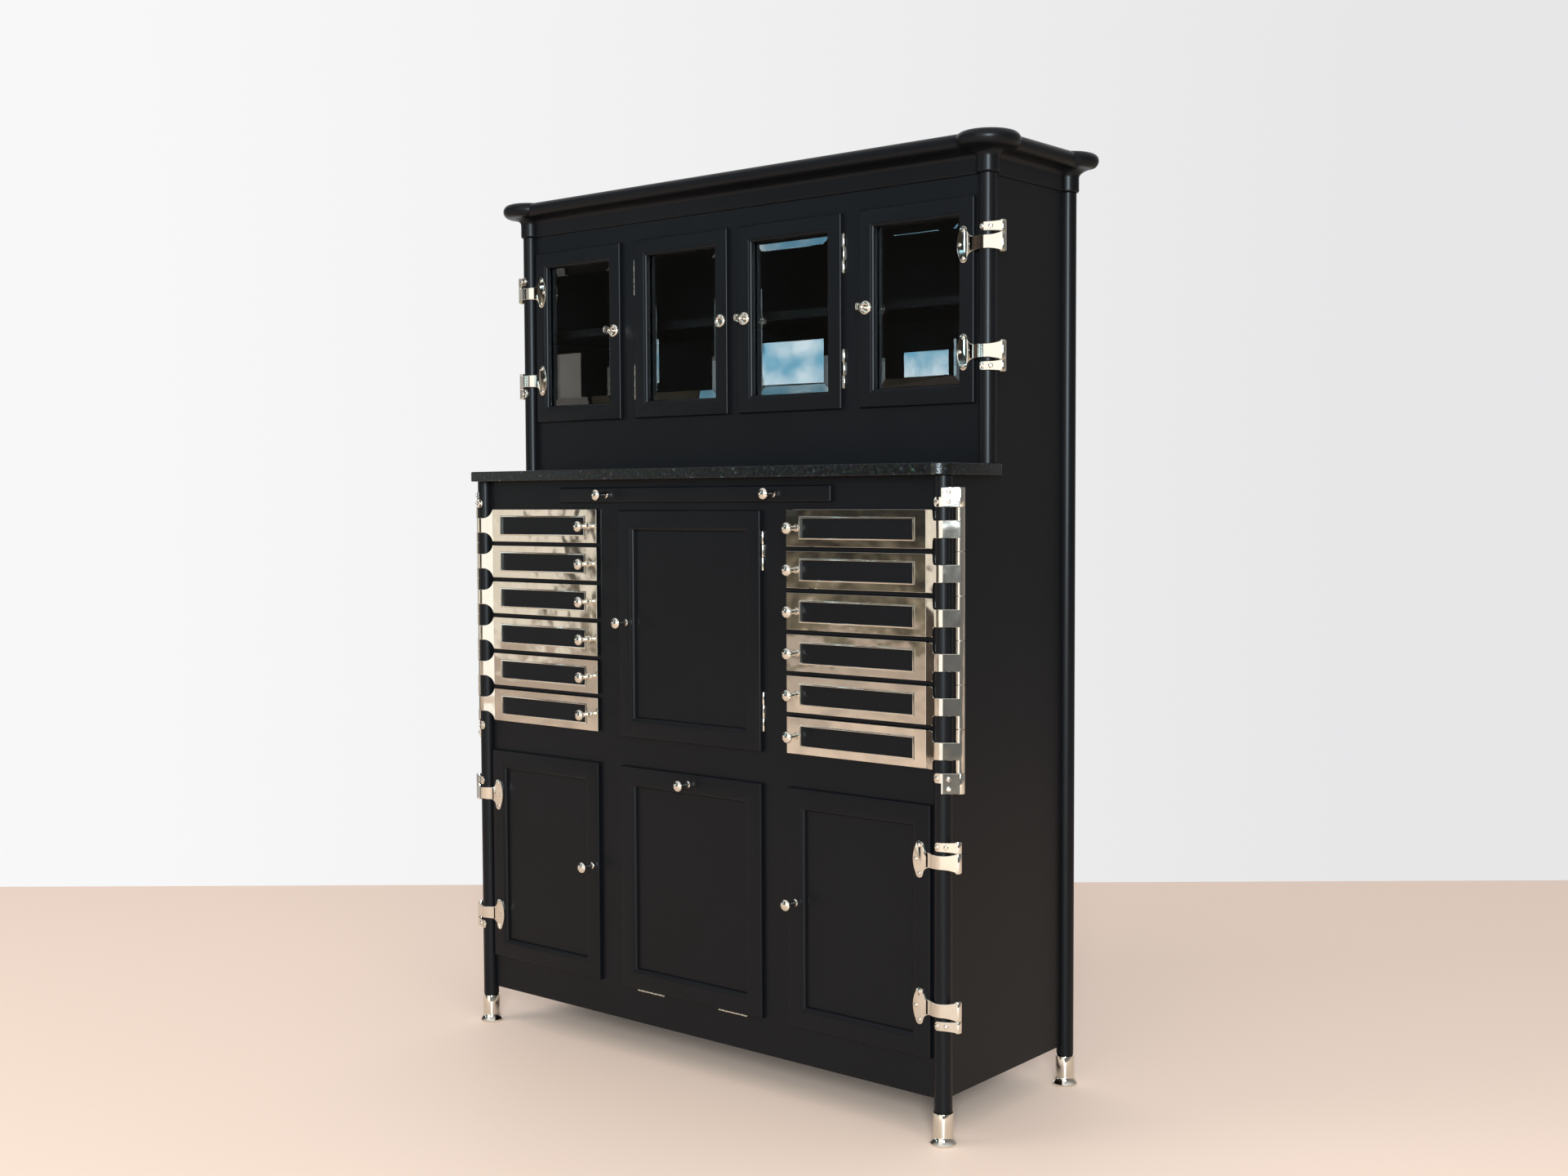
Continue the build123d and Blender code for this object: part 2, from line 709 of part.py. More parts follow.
# Wrap hinge of an outer door: leaf, arm and knuckle
def wrap_leaf(edge_x, y):
    """Moving half on a right-hand door whose outer edge is at edge_x, about its own height."""
    front = y - door_front
    centre = (pin_out, 0)
    x1 = edge_x - leaf_edge_inset
    lead = (x1 - half, -door_front - leaf_t)
    inner_r = post_r + band_post_gap
    knuckle_r = knuckle_d / 2
    band, ramp = wrap_band(inner_r, leaf_t, arm_wrap_start, centre, knuckle_r, arm_height, lead)
    ramp = Pos(0, 0, -arm_height / 2) * extrude(ramp, amount=arm_height, dir=(0, 0, 1))
    knuckle_half = arm_knuckle_height / 2
    knuckle = upright(pin_out, 0, -knuckle_half, knuckle_half, knuckle_r)
    bore = upright(pin_out, 0, -arm_knuckle_height, arm_knuckle_height, pin_d / 2 + running_gap)
    arm = Pos(half, y, 0) * ((band + ramp + knuckle) - bore)
    leaf = leaf_plate(x1, front)
    seat = front - leaf_t
    tip_x = x1 - leaf_tip_out
    tip_z = leaf_height / 2 - leaf_tip_d / 2
    belly_x = x1 - leaf_w + leaf_tip_d / 2
    spots = [(tip_x, tip_z - hinge_gap), (tip_x, hinge_gap - tip_z), (belly_x, 0)]
    screws = [along_y(px, pz, seat - screw_t, seat, leaf_screw_d / 2) for px, pz in spots]
    return [leaf + arm] + screws


def leaf_plate(x1, front):
    """Bowed plate with two rounded tips, its straight side at x1 as high as the arm."""
    x0 = x1 - leaf_w
    tip_x = x1 - leaf_tip_out
    tip_r = leaf_tip_d / 2
    high = leaf_height / 2
    waist = arm_height / 2
    edges = [Line((x1, -waist), (x1, waist))]
    for side in (1, -1):
        near = (tip_x + tip_r, side * (high - tip_r))
        far = (tip_x - tip_r, side * (high - tip_r))
        dip = ((near[0] + x1) / 2 - tip_r / 4, side * ((high - tip_r + waist) / 2 - tip_r / 4))
        edges.append(ThreePointArc((x1, side * waist), dip, near))
        edges.append(ThreePointArc(near, (tip_x, side * high), far))
    reach = high - tip_r
    edges.append(ThreePointArc((tip_x - tip_r, reach), (x0, 0), (tip_x - tip_r, -reach)))
    face = make_face(edges)
    plate = extrude(face, amount=leaf_t)
    return Pos(0, front, 0) * Rot(90, 0, 0) * plate


def wrap_clamp(y, z, up):
    """Fixed half on a right-hand post, with the pin, above (1) or below (-1) the arm."""
    knuckle_r = knuckle_d / 2
    centre = (pin_out, 0)
    low = arm_knuckle_height / 2 + hinge_gap
    high = low + clamp_knuckle_height
    mid = (low + high) / 2
    pin_r = pin_d / 2
    head_r = knuckle_r - pin_head_inset
    strap = wrap_band(post_r, clamp_t, clamp_wrap_start, centre, knuckle_r, clamp_height)
    body = Pos(0, 0, mid) * strap
    body = body + upright(pin_out, 0, low, high, knuckle_r)
    body = body + upright(pin_out, 0, -low, low, pin_r)
    body = body + upright(pin_out, 0, -low - pin_head_t, -low, head_r)
    body = body + upright(pin_out, 0, high, high + pin_head_t, head_r)
    seat = post_r + clamp_t
    screws = [
        screw_on_post(seat, clamp_screw_turn, mid),
        screw_on_link(seat, centre, knuckle_r, mid),
    ]
    pieces = [body] + screws
    if up < 0:
        pieces = [mirror(p, about=Plane.XY) for p in pieces]
    return [Pos(half, y, z) * p for p in pieces]


# Butt hinge along an upright axis, its moving half towards -X
def butt_hinge():
    """Moving and fixed halves about the pin, the door edge at -butt_edge_gap."""
    r = butt_knuckle_d / 2
    third = butt_length / 3
    gap = hinge_gap / 2
    bore = upright(0, 0, -butt_length, butt_length, butt_pin_d / 2 + running_gap)
    half_t = butt_leaf_t / 2
    moving = None
    for side in (-1, 1):
        z0 = third / 2 + gap
        z1 = butt_length / 2
        low = min(side * z0, side * z1)
        high = max(side * z0, side * z1)
        part = upright(0, 0, low, high, r) + box(-butt_edge_gap, 0, -half_t, half_t, low, high)
        moving = part if moving is None else moving + part
    moving = moving - bore
    middle = third / 2 - gap
    foot_x = -butt_foot_inset
    foot_y = butt_axis_out - butt_foot_t
    fixed = upright(0, 0, -middle, middle, r)
    foot = box(foot_x, foot_x + butt_foot_w, foot_y, butt_axis_out, -middle, middle)
    neck = box(-half_t, half_t, 0, butt_axis_out, -middle, middle)
    pin_half = butt_length / 2 + butt_pin_end
    pin = upright(0, 0, -pin_half, pin_half, butt_pin_d / 2)
    fixed = fixed + neck + foot + pin
    return moving.solids(), [fixed]


# Mitred piece of a door's lipped frame
def frame_piece(length, width, ovolo):
    """One side of a frame, along X from 0 to length, its outer edge at z 0, front at y 0."""
    r = door_edge_r
    depth = door_front - door_seat_gap
    profile = [(0, depth), (0, r)]
    for i in range(1, 4):
        turn = radians(30 * i)
        profile.append((r - r * cos(turn), r - r * sin(turn)))
    for i in range(5):
        turn = radians(90 - 22.5 * i)
        inner = width - ovolo + ovolo * cos(turn)
        profile.append((inner, ovolo - ovolo * sin(turn)))
    profile.append((width, depth))
    face = make_face(Polyline([(0, y, z) for z, y in profile], close=True))
    bar = extrude(face, amount=length, dir=(1, 0, 0))
    mitre = [(0, 0), (length, 0), (length - width, width), (width, width)]
    trim = make_face(Polyline([(x, -1, z) for x, z in mitre], close=True))
    return bar & extrude(trim, amount=depth + 2, dir=(0, 1, 0))


def frame_front(x0, x1, z0, z1, y, width, ovolo):
    """Four mitred pieces that lie over the opening, their outside from x0 to x1 and z0 to z1."""
    front = y - door_front
    rail = frame_piece(x1 - x0, width, ovolo)
    stile = frame_piece(z1 - z0, width, ovolo)
    return [
        Pos(x0, front, z0) * rail,
        Pos(x0, front, z1) * mirror(rail, about=Plane.XY),
        Pos(x0, front, z0) * mirror(Rot(0, -90, 0) * stile, about=Plane.YZ),
        Pos(x1, front, z0) * (Rot(0, -90, 0) * stile),
    ]


def ring(outside, inside, y0, y1):
    """Four boards between two rectangles given as (x0, x1, z0, z1)."""
    ox0, ox1, oz0, oz1 = outside
    ix0, ix1, iz0, iz1 = inside
    return [
        box(ox0, ix0, y0, y1, oz0, oz1),
        box(ix1, ox1, y0, y1, oz0, oz1),
        box(ix0, ix1, y0, y1, oz0, iz0),
        box(ix0, ix1, y0, y1, iz1, oz1),
    ]


def inset(rectangle, amount):
    x0, x1, z0, z1 = rectangle
    return (x0 + amount, x1 - amount, z0 + amount, z1 - amount)


def panel_door(x0, x1, z0, z1, core_x0, core_x1):
    """Framed door with a recessed panel. Its inner part runs from core_x0 to core_x1."""
    w = panel_frame_w
    play = door_lip + door_play
    pieces = frame_front(x0, x1, z0, z1, 0, w, panel_ovolo)
    outside = (core_x0, core_x1, z0 + play, z1 - play)
    inside = inset((x0, x1, z0, z1), w)
    pieces += ring(outside, inside, -door_seat_gap, door_core_depth)
    panel_y = -door_front + panel_recess
    panel = box(inside[0], inside[1], panel_y, panel_y + panel_t, inside[2], inside[3])
    return pieces + [panel]


def glass_door(x0, x1):
    """Frame with its beads, and the bevelled pane, of one upper door."""
    around = (x0, x1, *glass_door_z)
    w = glass_frame_w
    pane_y = upper_y - door_front + glass_recess
    pane_back = pane_y + glass_t
    core_back = upper_y + door_core_depth
    outside = inset(around, glass_lip + door_play)
    sight = inset(around, w)
    seat = inset(around, w - glass_rebate - glass_play)
    pieces = frame_front(*around, upper_y, w, glass_ovolo)
    pieces += ring(outside, sight, upper_y - door_seat_gap, pane_y)
    pieces += ring(outside, seat, pane_y, core_back)
    pieces += ring(seat, sight, pane_back, pane_back + glazing_bead_t)
    px0, px1, pz0, pz1 = inset(around, w - glass_rebate)
    pane = box(px0, px1, pane_y, pane_back, pz0, pz1)
    front = pane.faces().sort_by(Axis.Y)[0]
    bevel = glass_rebate + glass_bevel_w
    pane = chamfer(front.edges(), bevel, glass_bevel_depth, reference=front)
    return pieces, [pane]


# Round lock plate with its rim, and the barrel that takes the key
def lock_at(x, z):
    """Lock plate and barrel on an upper door front."""
    front = upper_y - door_front
    plate = along_y(x, z, front - lock_t, front, lock_d / 2)
    rim = along_y(x, z, front - lock_t - lock_rim_t, front - lock_t, lock_d / 2)
    rim = rim - along_y(x, z, front - lock_t - 2 * lock_rim_t, front, lock_d / 2 - lock_rim_w)
    barrel_end = upper_y + door_core_depth - lock_barrel_short
    barrel = along_y(x, z, front, barrel_end, lock_barrel_d / 2)
    keyway_end = front - lock_t + key_insert + key_end_play
    keyway = along_y(x, z, front - 2 * lock_t, keyway_end, key_shank_d / 2 + running_gap)
    return (plate + rim + barrel) - keyway


def lock_hole(x, z):
    return along_y(x, z, upper_y - 2 * door_front, upper_y + 2 * door_front, lock_barrel_d / 2)


def key_at(x, z):
    """Key that stands in a lock: shank, collar and round bow."""
    front = upper_y - door_front - lock_t
    tip = front + key_insert
    bow_y = front - key_length
    shank = along_y(x, z, bow_y, tip, key_shank_d / 2)
    collar_y = front - key_collar_out
    collar = along_y(x, z, collar_y - key_collar_t, collar_y, key_collar_d / 2)
    bow_r = key_bow_d / 2
    bow = Pos(x, bow_y - bow_r + key_bow_overlap, z) * Rot(0, 90, 0) * Cylinder(bow_r, key_bow_t)
    hole = Cylinder(key_bow_hole_d / 2, 2 * key_bow_t)
    hole = Pos(x, bow_y - key_hole_out, z) * Rot(0, 90, 0) * hole
    return [(shank + collar + bow) - hole]


# Tilt-out bin behind the flap
def bin_box():
    x1 = centre_opening - bin_side_play
    y0 = door_core_depth
    y1 = y0 + bin_depth
    z0 = low_opening[0] + door_play
    wall = bin_wall_t
    front_z = low_opening[1] - bin_top_play
    back_z = front_z - bin_back_drop
    side = [(y0, z0), (y1, z0), (y1, back_z), (y0, front_z)]
    face = make_face(Polyline([(x1, y, z) for y, z in side], close=True))
    cheek = extrude(face, amount=wall, dir=(-1, 0, 0))
    floor = box(-x1 + wall, x1 - wall, y0, y1, z0, z0 + wall)
    back = box(-x1 + wall, x1 - wall, y1 - wall, y1, z0 + wall, back_z)
    return both([cheek]) + [floor, back]


def slide_board():
    board_y0 = -door_seat_gap
    board_y1 = case_in_back - slide_back_gap
    board_z1 = slide_board_z + slide_board_t
    board = box(-slide_half, slide_half, board_y0, board_y1, slide_board_z, board_z1)
    strip_z1 = slide_strip_z + slide_strip_height
    end_x = slide_strip_half
    strip = box(-end_x, end_x, -door_front, board_y0, slide_strip_z, strip_z1)
    strip = fillet(strip.faces().sort_by(Axis.Y)[0].edges(), door_edge_r)
    return [strip, board]


# Fixed parts, written first
save("corner_posts", corner_posts())
save("foot_ferrules", foot_ferrules())
save("side_panels", side_panels())
save("back_panel", back_panel())
save("carcass_boards", carcass_boards())
save("lower_face_frame", lower_face_frame())
save("upper_face_frame", upper_face_frame())
save("counter_top", counter_top())
save("cornice", cornice())
save("drawer_hinge_rods", drawer_hinge_rods())

# Swing-out drawers, alike on both sides
face_pieces = drawer_face()
tray_pieces = drawer_tray()
for number, z in enumerate(drawer_z, start=1):
    for side in ("left", "right"):
        faces = [Pos(0, 0, z) * p for p in face_pieces]
        trays = [Pos(0, 0, z) * p for p in tray_pieces]
        if side == "left":
            faces = [left(p) for p in faces]
            trays = [left(p) for p in trays]
        save(f"{side}_drawer_{number}_face", faces)
        save(f"{side}_drawer_{number}_tray", trays)

# Butt hinges: places of the moving and fixed halves
moving_butt, fixed_butt = butt_hinge()
fixed_hinges = []


def butt_pair(axis_x, y, z_pair, door_side):
    """Two butt hinges on an upright axis; door_side is -1 where the door lies to its left."""
    moved = []
    for z in z_pair:
        for group, shapes in ((moved, moving_butt), (fixed_hinges, fixed_butt)):
            for shape in shapes:
                turned_shape = shape if door_side < 0 else mirror(shape, about=Plane.YZ)
                group.append(Pos(axis_x, y, z) * turned_shape)
    return moved


def end_pair(z0, z1):
    """Hinge centres near the two ends of a door."""
    inset = butt_end_inset + butt_length / 2
    return (z0 + inset, z1 - inset)


# Upper doors, numbered from the left
glass_z_pair = end_pair(*glass_door_z)
glass_axis_y = upper_y - butt_axis_out
glass_places = {
    1: (-outer_glass_x[1], -outer_glass_x[0]),
    2: (-inner_glass_x[1], -inner_glass_x[0]),
    3: inner_glass_x,
    4: outer_glass_x,
}
for number, (x0, x1) in glass_places.items():
    frames, pane = glass_door(x0, x1)
    lock_x = x1 - lock_inset if number < 3 else x0 + lock_inset
    frames = [f - lock_hole(lock_x, lock_z) for f in frames]
    hardware = [lock_at(lock_x, lock_z)]
    if number in (1, 4):
        leaves = []
        for z in glass_hinge_z:
            leaves += [Pos(0, 0, z) * p for p in wrap_leaf(outer_glass_x[1], upper_y)]
        hardware += leaves if number == 4 else [left(p) for p in leaves]
    else:
        door_side = -1 if number == 3 else 1
        axis_x = x1 + butt_edge_gap if number == 3 else x0 - butt_edge_gap
        hardware += butt_pair(axis_x, glass_axis_y, glass_z_pair, door_side)
    save(f"glass_door_{number}_frame", frames)
    save(f"glass_door_{number}_pane", pane)
    save(f"glass_door_{number}_fittings", hardware)
    if number != 2:
        save(f"glass_door_{number}_key", key_at(lock_x, lock_z))

# Lower doors
side_core = (opening_inner_x + door_play, opening_outer_x - side_core_play)
centre_core = centre_opening - door_play
corner_door = panel_door(door_inner_x, door_outer_x, *row_low, *side_core)
corner_knob_z = (row_low[0] + row_low[1]) / 2 + side_knob_rise
corner_fittings = [knob_at(door_inner_x + knob_inset, -door_front, corner_knob_z)]
for z in low_hinge_z:
    corner_fittings += [Pos(0, 0, z) * p for p in wrap_leaf(door_outer_x, 0)]
save("right_door_panel", corner_door)
save("right_door_fittings", corner_fittings)
save("left_door_panel", [left(p) for p in corner_door])
save("left_door_fittings", [left(p) for p in corner_fittings])

centre_fittings = butt_pair(
    centre_half + butt_edge_gap, -butt_axis_out, end_pair(*row_mid), -1,
)
centre_knob_z = (row_mid[0] + row_mid[1]) / 2 + centre_knob_rise
centre_fittings.append(knob_at(-centre_half + knob_inset, -door_front, centre_knob_z))
centre_door = panel_door(-centre_half, centre_half, *row_mid, -centre_core, centre_core)
save("centre_door_panel", centre_door)
save("centre_door_fittings", centre_fittings)

# Bin flap with its hinges along the bottom edge
bin_fittings = [knob_at(0, -door_front, row_low[1] - knob_inset)]
bin_butt_centre = centre_half - bin_butt_inset
for x in (-bin_butt_centre, bin_butt_centre):
    place = Pos(x, -butt_axis_out, row_low[0] - butt_edge_gap) * Rot(0, 90, 0)
    bin_fittings += [place * s for s in moving_butt]
    fixed_hinges += [place * s for s in fixed_butt]
flap = panel_door(-centre_half, centre_half, *row_low, -centre_core, centre_core)
save("bin_flap", flap + bin_box())
save("bin_fittings", bin_fittings)

# Pull-out board under the counter
save("slide_board", slide_board())
slide_knob = knob_at(
    slide_strip_half - slide_knob_inset, -door_front, slide_strip_z + slide_strip_height / 2,
)
save("slide_knobs", both([slide_knob]))

# Fixed halves of every door hinge
clamps = []
for y, heights in ((0, low_hinge_z), (upper_y, glass_hinge_z)):
    clamps += wrap_clamp(y, heights[0], -1) + wrap_clamp(y, heights[1], 1)
save("fixed_hinge_halves", both(clamps) + fixed_hinges)

print("nodes written:", len(os.listdir("parts")), "centre shift:", y_mid)
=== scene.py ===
"""Dental instrument cabinet: black lacquer, stone counter, nickel fittings, bevelled glass."""
import math

import bmesh
import bpy
from mathutils import Matrix, Vector


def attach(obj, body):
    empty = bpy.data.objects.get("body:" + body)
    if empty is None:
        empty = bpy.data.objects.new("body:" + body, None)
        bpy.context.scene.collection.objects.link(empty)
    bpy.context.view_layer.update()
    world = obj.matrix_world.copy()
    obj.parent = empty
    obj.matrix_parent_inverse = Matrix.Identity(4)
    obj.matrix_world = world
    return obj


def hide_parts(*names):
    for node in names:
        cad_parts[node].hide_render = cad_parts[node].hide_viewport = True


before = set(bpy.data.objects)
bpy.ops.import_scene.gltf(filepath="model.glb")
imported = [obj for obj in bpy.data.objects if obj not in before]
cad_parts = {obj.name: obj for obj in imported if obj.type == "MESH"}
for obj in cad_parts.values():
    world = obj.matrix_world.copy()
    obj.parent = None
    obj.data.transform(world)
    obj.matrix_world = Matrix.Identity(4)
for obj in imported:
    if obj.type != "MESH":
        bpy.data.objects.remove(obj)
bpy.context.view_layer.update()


# Camera and studio. The camera stands where the photographer stood, in front of the
# right-hand corner and a little below the counter. The floor ends where the wall began.
eye = Vector((2.0144, -2.35455, 0.9762))
facing_turn = 0.6916
facing_dip = 0.0493
camera_roll = -0.0042
lens_mm = 40.57
floor_ahead = (-0.2, 4.47)
floor_aside = 9
floor_colour = (0.725, 0.555, 0.445, 1)

forward = Vector((
    -math.sin(facing_turn) * math.cos(facing_dip),
    math.cos(facing_turn) * math.cos(facing_dip),
    -math.sin(facing_dip),
))
level = Vector((math.cos(facing_turn), math.sin(facing_turn), 0))
upward = level.cross(forward)
across = math.cos(camera_roll) * level + math.sin(camera_roll) * upward
upward = across.cross(forward)
camera = bpy.data.objects.new("camera", bpy.data.cameras.new("camera"))
camera.data.lens = lens_mm
camera.data.sensor_width = 36
camera.data.clip_end = 200
facing = Matrix((across, upward, -forward)).transposed().to_4x4()
camera.matrix_world = Matrix.Translation(eye) @ facing
bpy.context.scene.collection.objects.link(camera)
bpy.context.scene.camera = camera
bpy.context.scene.view_settings.view_transform = "Standard"


def feed(tree, made, feeds):
    """Gives each named input of a node its value, or the socket that drives it."""
    for name, value in feeds.items():
        if isinstance(value, bpy.types.NodeSocket):
            tree.links.new(value, made.inputs[name])
        else:
            made.inputs[name].default_value = value


def node(tree, kind, feeds=None, **switches):
    """Adds a node, sets its switches, feeds its inputs and gives its outputs."""
    made = tree.nodes.new(kind)
    for name, value in switches.items():
        setattr(made, name, value)
    feed(tree, made, feeds or {})
    return made.outputs


def new_finish(name, settings):
    """A material with its shader's own sockets set, the node tree, and the shader."""
    finish = bpy.data.materials.new(name)
    finish.use_nodes = True
    shader = finish.node_tree.nodes["Principled BSDF"]
    feed(finish.node_tree, shader, settings)
    return finish, finish.node_tree, shader


ahead = Vector((forward.x, forward.y, 0)).normalized()
ground = Vector((eye.x, eye.y, 0))
near, far = floor_ahead
corners = [ground + ahead * distance + level * side * floor_aside
           for distance, side in ((far, -1), (far, 1), (near, 1), (near, -1))]
floor_mesh = bpy.data.meshes.new("floor")
floor_mesh.from_pydata([tuple(c) for c in corners], [], [(3, 2, 1, 0)])
floor_mesh.materials.append(new_finish("pale_floor", {
    "Base Color": floor_colour, "Roughness": 0.55, "Specular IOR Level": 0.25,
})[0])
floor = bpy.data.objects.new("floor", floor_mesh)
bpy.context.scene.collection.objects.link(floor)


def softbox(name, place, target, width, height, watts, colour=(1, 1, 1), shiny=True):
    """A rectangular studio lamp that the camera itself doesn't see."""
    lamp = bpy.data.lights.new(name, "AREA")
    lamp.shape = "RECTANGLE"
    lamp.size = width
    lamp.size_y = height
    lamp.energy = watts
    lamp.color = colour
    held = bpy.data.objects.new(name, lamp)
    held.location = place
    held.rotation_euler = (Vector(target) - Vector(place)).to_track_quat("-Z", "Y").to_euler()
    held.visible_camera = False
    held.visible_glossy = shiny
    held.visible_transmission = shiny
    bpy.context.scene.collection.objects.link(held)


softbox("key", (-2.6, -3.6, 3.0), (0, 0, 0.7), 2.4, 2.0, 70, shiny=False)
softbox("fill", (3.4, -1.8, 2.6), (0, 0, 0.8), 1.6, 2.4, 28, shiny=False)
softbox("tall_window", (3.3, -3.9, 1.76), (0, 0, 1.1), 1.2, 1.35, 330, (0.78, 0.91, 1.0))


def maths(tree, operation, *terms):
    """The result of one sum or comparison."""
    return node(tree, "ShaderNodeMath", dict(enumerate(terms)), operation=operation)[0]


def ranged(tree, value, start, end, low=0.0, high=1.0):
    """A value brought from one range to another, and held within it."""
    feeds = {"Value": value, "From Min": start, "From Max": end, "To Min": low, "To Max": high}
    return node(tree, "ShaderNodeMapRange", feeds)["Result"]


def blend(tree, share, first, second, way="MIX"):
    """Two colours mixed by a share."""
    feeds = {"Factor": share, "A": first, "B": second}
    return node(tree, "ShaderNodeMix", feeds, data_type="RGBA", blend_type=way)["Result"]


def noise(tree, place, scale, detail):
    feeds = {"Vector": place, "Scale": scale, "Detail": detail}
    return node(tree, "ShaderNodeTexNoise", feeds)["Fac"]


def colour_steps(tree, share, steps):
    """A colour that runs through (place, colour) steps."""
    ramp = tree.nodes.new("ShaderNodeValToRGB")
    feed(tree, ramp, {"Fac": share})
    stops = ramp.color_ramp.elements
    for place, colour in steps[1:-1]:
        stops.new(place).color = (*colour, 1)
    for end in (0, -1):
        stops[end].position = steps[end][0]
        stops[end].color = (*steps[end][1], 1)
    return ramp.outputs["Color"]


world = bpy.data.worlds.new("studio")
world.use_nodes = True
bpy.context.scene.world = world
studio = world.node_tree
studio.nodes.clear()
ray = node(studio, "ShaderNodeLightPath")
way = node(studio, "ShaderNodeTexCoord")["Generated"]
heading = node(studio, "ShaderNodeSeparateXYZ", {0: way})
turn_about = maths(studio, "ARCTAN2", heading["Y"], heading["X"])
compass = ranged(studio, turn_about, -math.pi, math.pi)


def bearing(degrees):
    """A bearing from -180 to 180 degrees as the compass gives it, from 0 to 1."""
    return (degrees + 180) / 360


room_stops = (
    (-180, (0.10, 0.075, 0.060)), (-135, (0.030, 0.028, 0.026)), (-108, (0.050, 0.045, 0.040)),
    (-100, (1.45, 1.43, 1.40)), (-66, (1.45, 1.43, 1.40)), (-58, (0.12, 0.13, 0.15)),
    (-38, (0.20, 0.20, 0.20)), (11, (0.23, 0.225, 0.22)), (36, (0.27, 0.25, 0.25)),
    (75, (0.32, 0.31, 0.30)), (105, (0.84, 0.84, 0.85)), (165, (0.84, 0.84, 0.85)),
    (180, (0.10, 0.085, 0.070)),
)
horizon = colour_steps(studio, compass, [(bearing(a), colour) for a, colour in room_stops])
overhead = ranged(studio, heading["Z"], 0.35, 0.80)
ceiling = blend(studio, overhead, horizon, (0.95, 0.96, 1.0, 1))
uneven = ranged(studio, noise(studio, way, 22, 5), 0.35, 0.65, 0.40, 1.45)
worn_floor = node(studio, "ShaderNodeVectorMath", {0: (0.50, 0.43, 0.31), 1: uneven},
                  operation="MULTIPLY")[0]
low_clutter = ranged(studio, heading["Z"], -0.01, -0.15)
left_front = maths(studio, "COMPARE", compass, bearing(-120), 16 / 360)
cluttered = maths(studio, "MULTIPLY", low_clutter, left_front)
near_floor = ranged(studio, heading["Z"], -0.15, -0.22)
below = maths(studio, "MAXIMUM", cluttered, near_floor)
mirrored = blend(studio, below, ceiling, worn_floor)


def slope(axis):
    """How far a direction leans along an axis for each unit it goes forward."""
    return maths(studio, "DIVIDE", heading[axis], maths(studio, "MULTIPLY", heading["Y"], -1))


aside, aloft = slope("X"), slope("Z")
in_front = maths(studio, "LESS_THAN", heading["Y"], 0)


def window_light(behind, middle, half, low_middle, half_high, dull, bright):
    """Lays one bright patch of the room in front over what the nickel and glass mirror."""
    within = maths(studio, "COMPARE", aside, middle, half)
    beside = maths(studio, "COMPARE", aloft, low_middle, half_high)
    share = maths(studio, "MULTIPLY", maths(studio, "MULTIPLY", within, beside), in_front)
    drift = ranged(studio, noise(studio, way, 55, 4), 0.42, 0.68)
    return blend(studio, share, behind, blend(studio, drift, (*dull, 1), (*bright, 1)))


cloudy_sky = (1.7, 4.0, 5.5), (6.6, 7.8, 8.4)
teal_glow = (1.3, 1.65, 1.8), (1.7, 2.05, 2.2)
pale_wall = (0.97, 0.90, 0.81), (1.17, 1.09, 1.0)
for patch in (
    (-3.60, 2.56, -0.09, 0.21, *pale_wall),
    (-1.72, 0.40, 0.10, 0.10, *teal_glow),
    (-0.45, 0.12, 0.078, 0.012, *teal_glow),
    (-0.823, 0.033, 0.1005, 0.0155, *cloudy_sky),
    (-0.7007, 0.0185, 0.0935, 0.0085, *cloudy_sky),
    (-0.875, 0.070, 0.355, 0.105, *cloudy_sky),
):
    mirrored = window_light(mirrored, *patch)
sideways = node(studio, "ShaderNodeVectorMath", {0: way, 1: level},
                operation="DOT_PRODUCT")["Value"]
wall_shade = ranged(studio, sideways, -0.35, 0.30)
wall = blend(studio, wall_shade, (0.94, 0.94, 0.945, 1), (0.80, 0.80, 0.81, 1))
seen = node(studio, "ShaderNodeBackground", {"Color": wall})[0]
around = node(studio, "ShaderNodeBackground", {"Color": mirrored})[0]
mirror_or_glass = maths(studio, "MAXIMUM", ray["Is Glossy Ray"], ray["Is Transmission Ray"])
behind_cabinet = maths(studio, "COMPARE", compass, bearing(135), 30 / 360)
wall_mirrored = maths(studio, "MULTIPLY", mirror_or_glass, behind_cabinet)
wall_shows = maths(studio, "MAXIMUM", ray["Is Camera Ray"], wall_mirrored)
shown = node(studio, "ShaderNodeMixShader", {"Fac": wall_shows, 1: around, 2: seen})[0]
node(studio, "ShaderNodeOutputWorld", {"Surface": shown})


# Case: side panels, back, decks and face frames of close-grained wood, glued up flush,
# filled, and sprayed with several coats of satin black lacquer.
black = (0.0032, 0.0035, 0.0042)
satin = 0.35


def bumps(tree, height, strength, distance, over=None):
    """A bumped surface from a height, laid over another one if there is one."""
    feeds = {"Height": height, "Strength": strength, "Distance": distance}
    if over:
        feeds["Normal"] = over
    return node(tree, "ShaderNodeBump", feeds)[0]


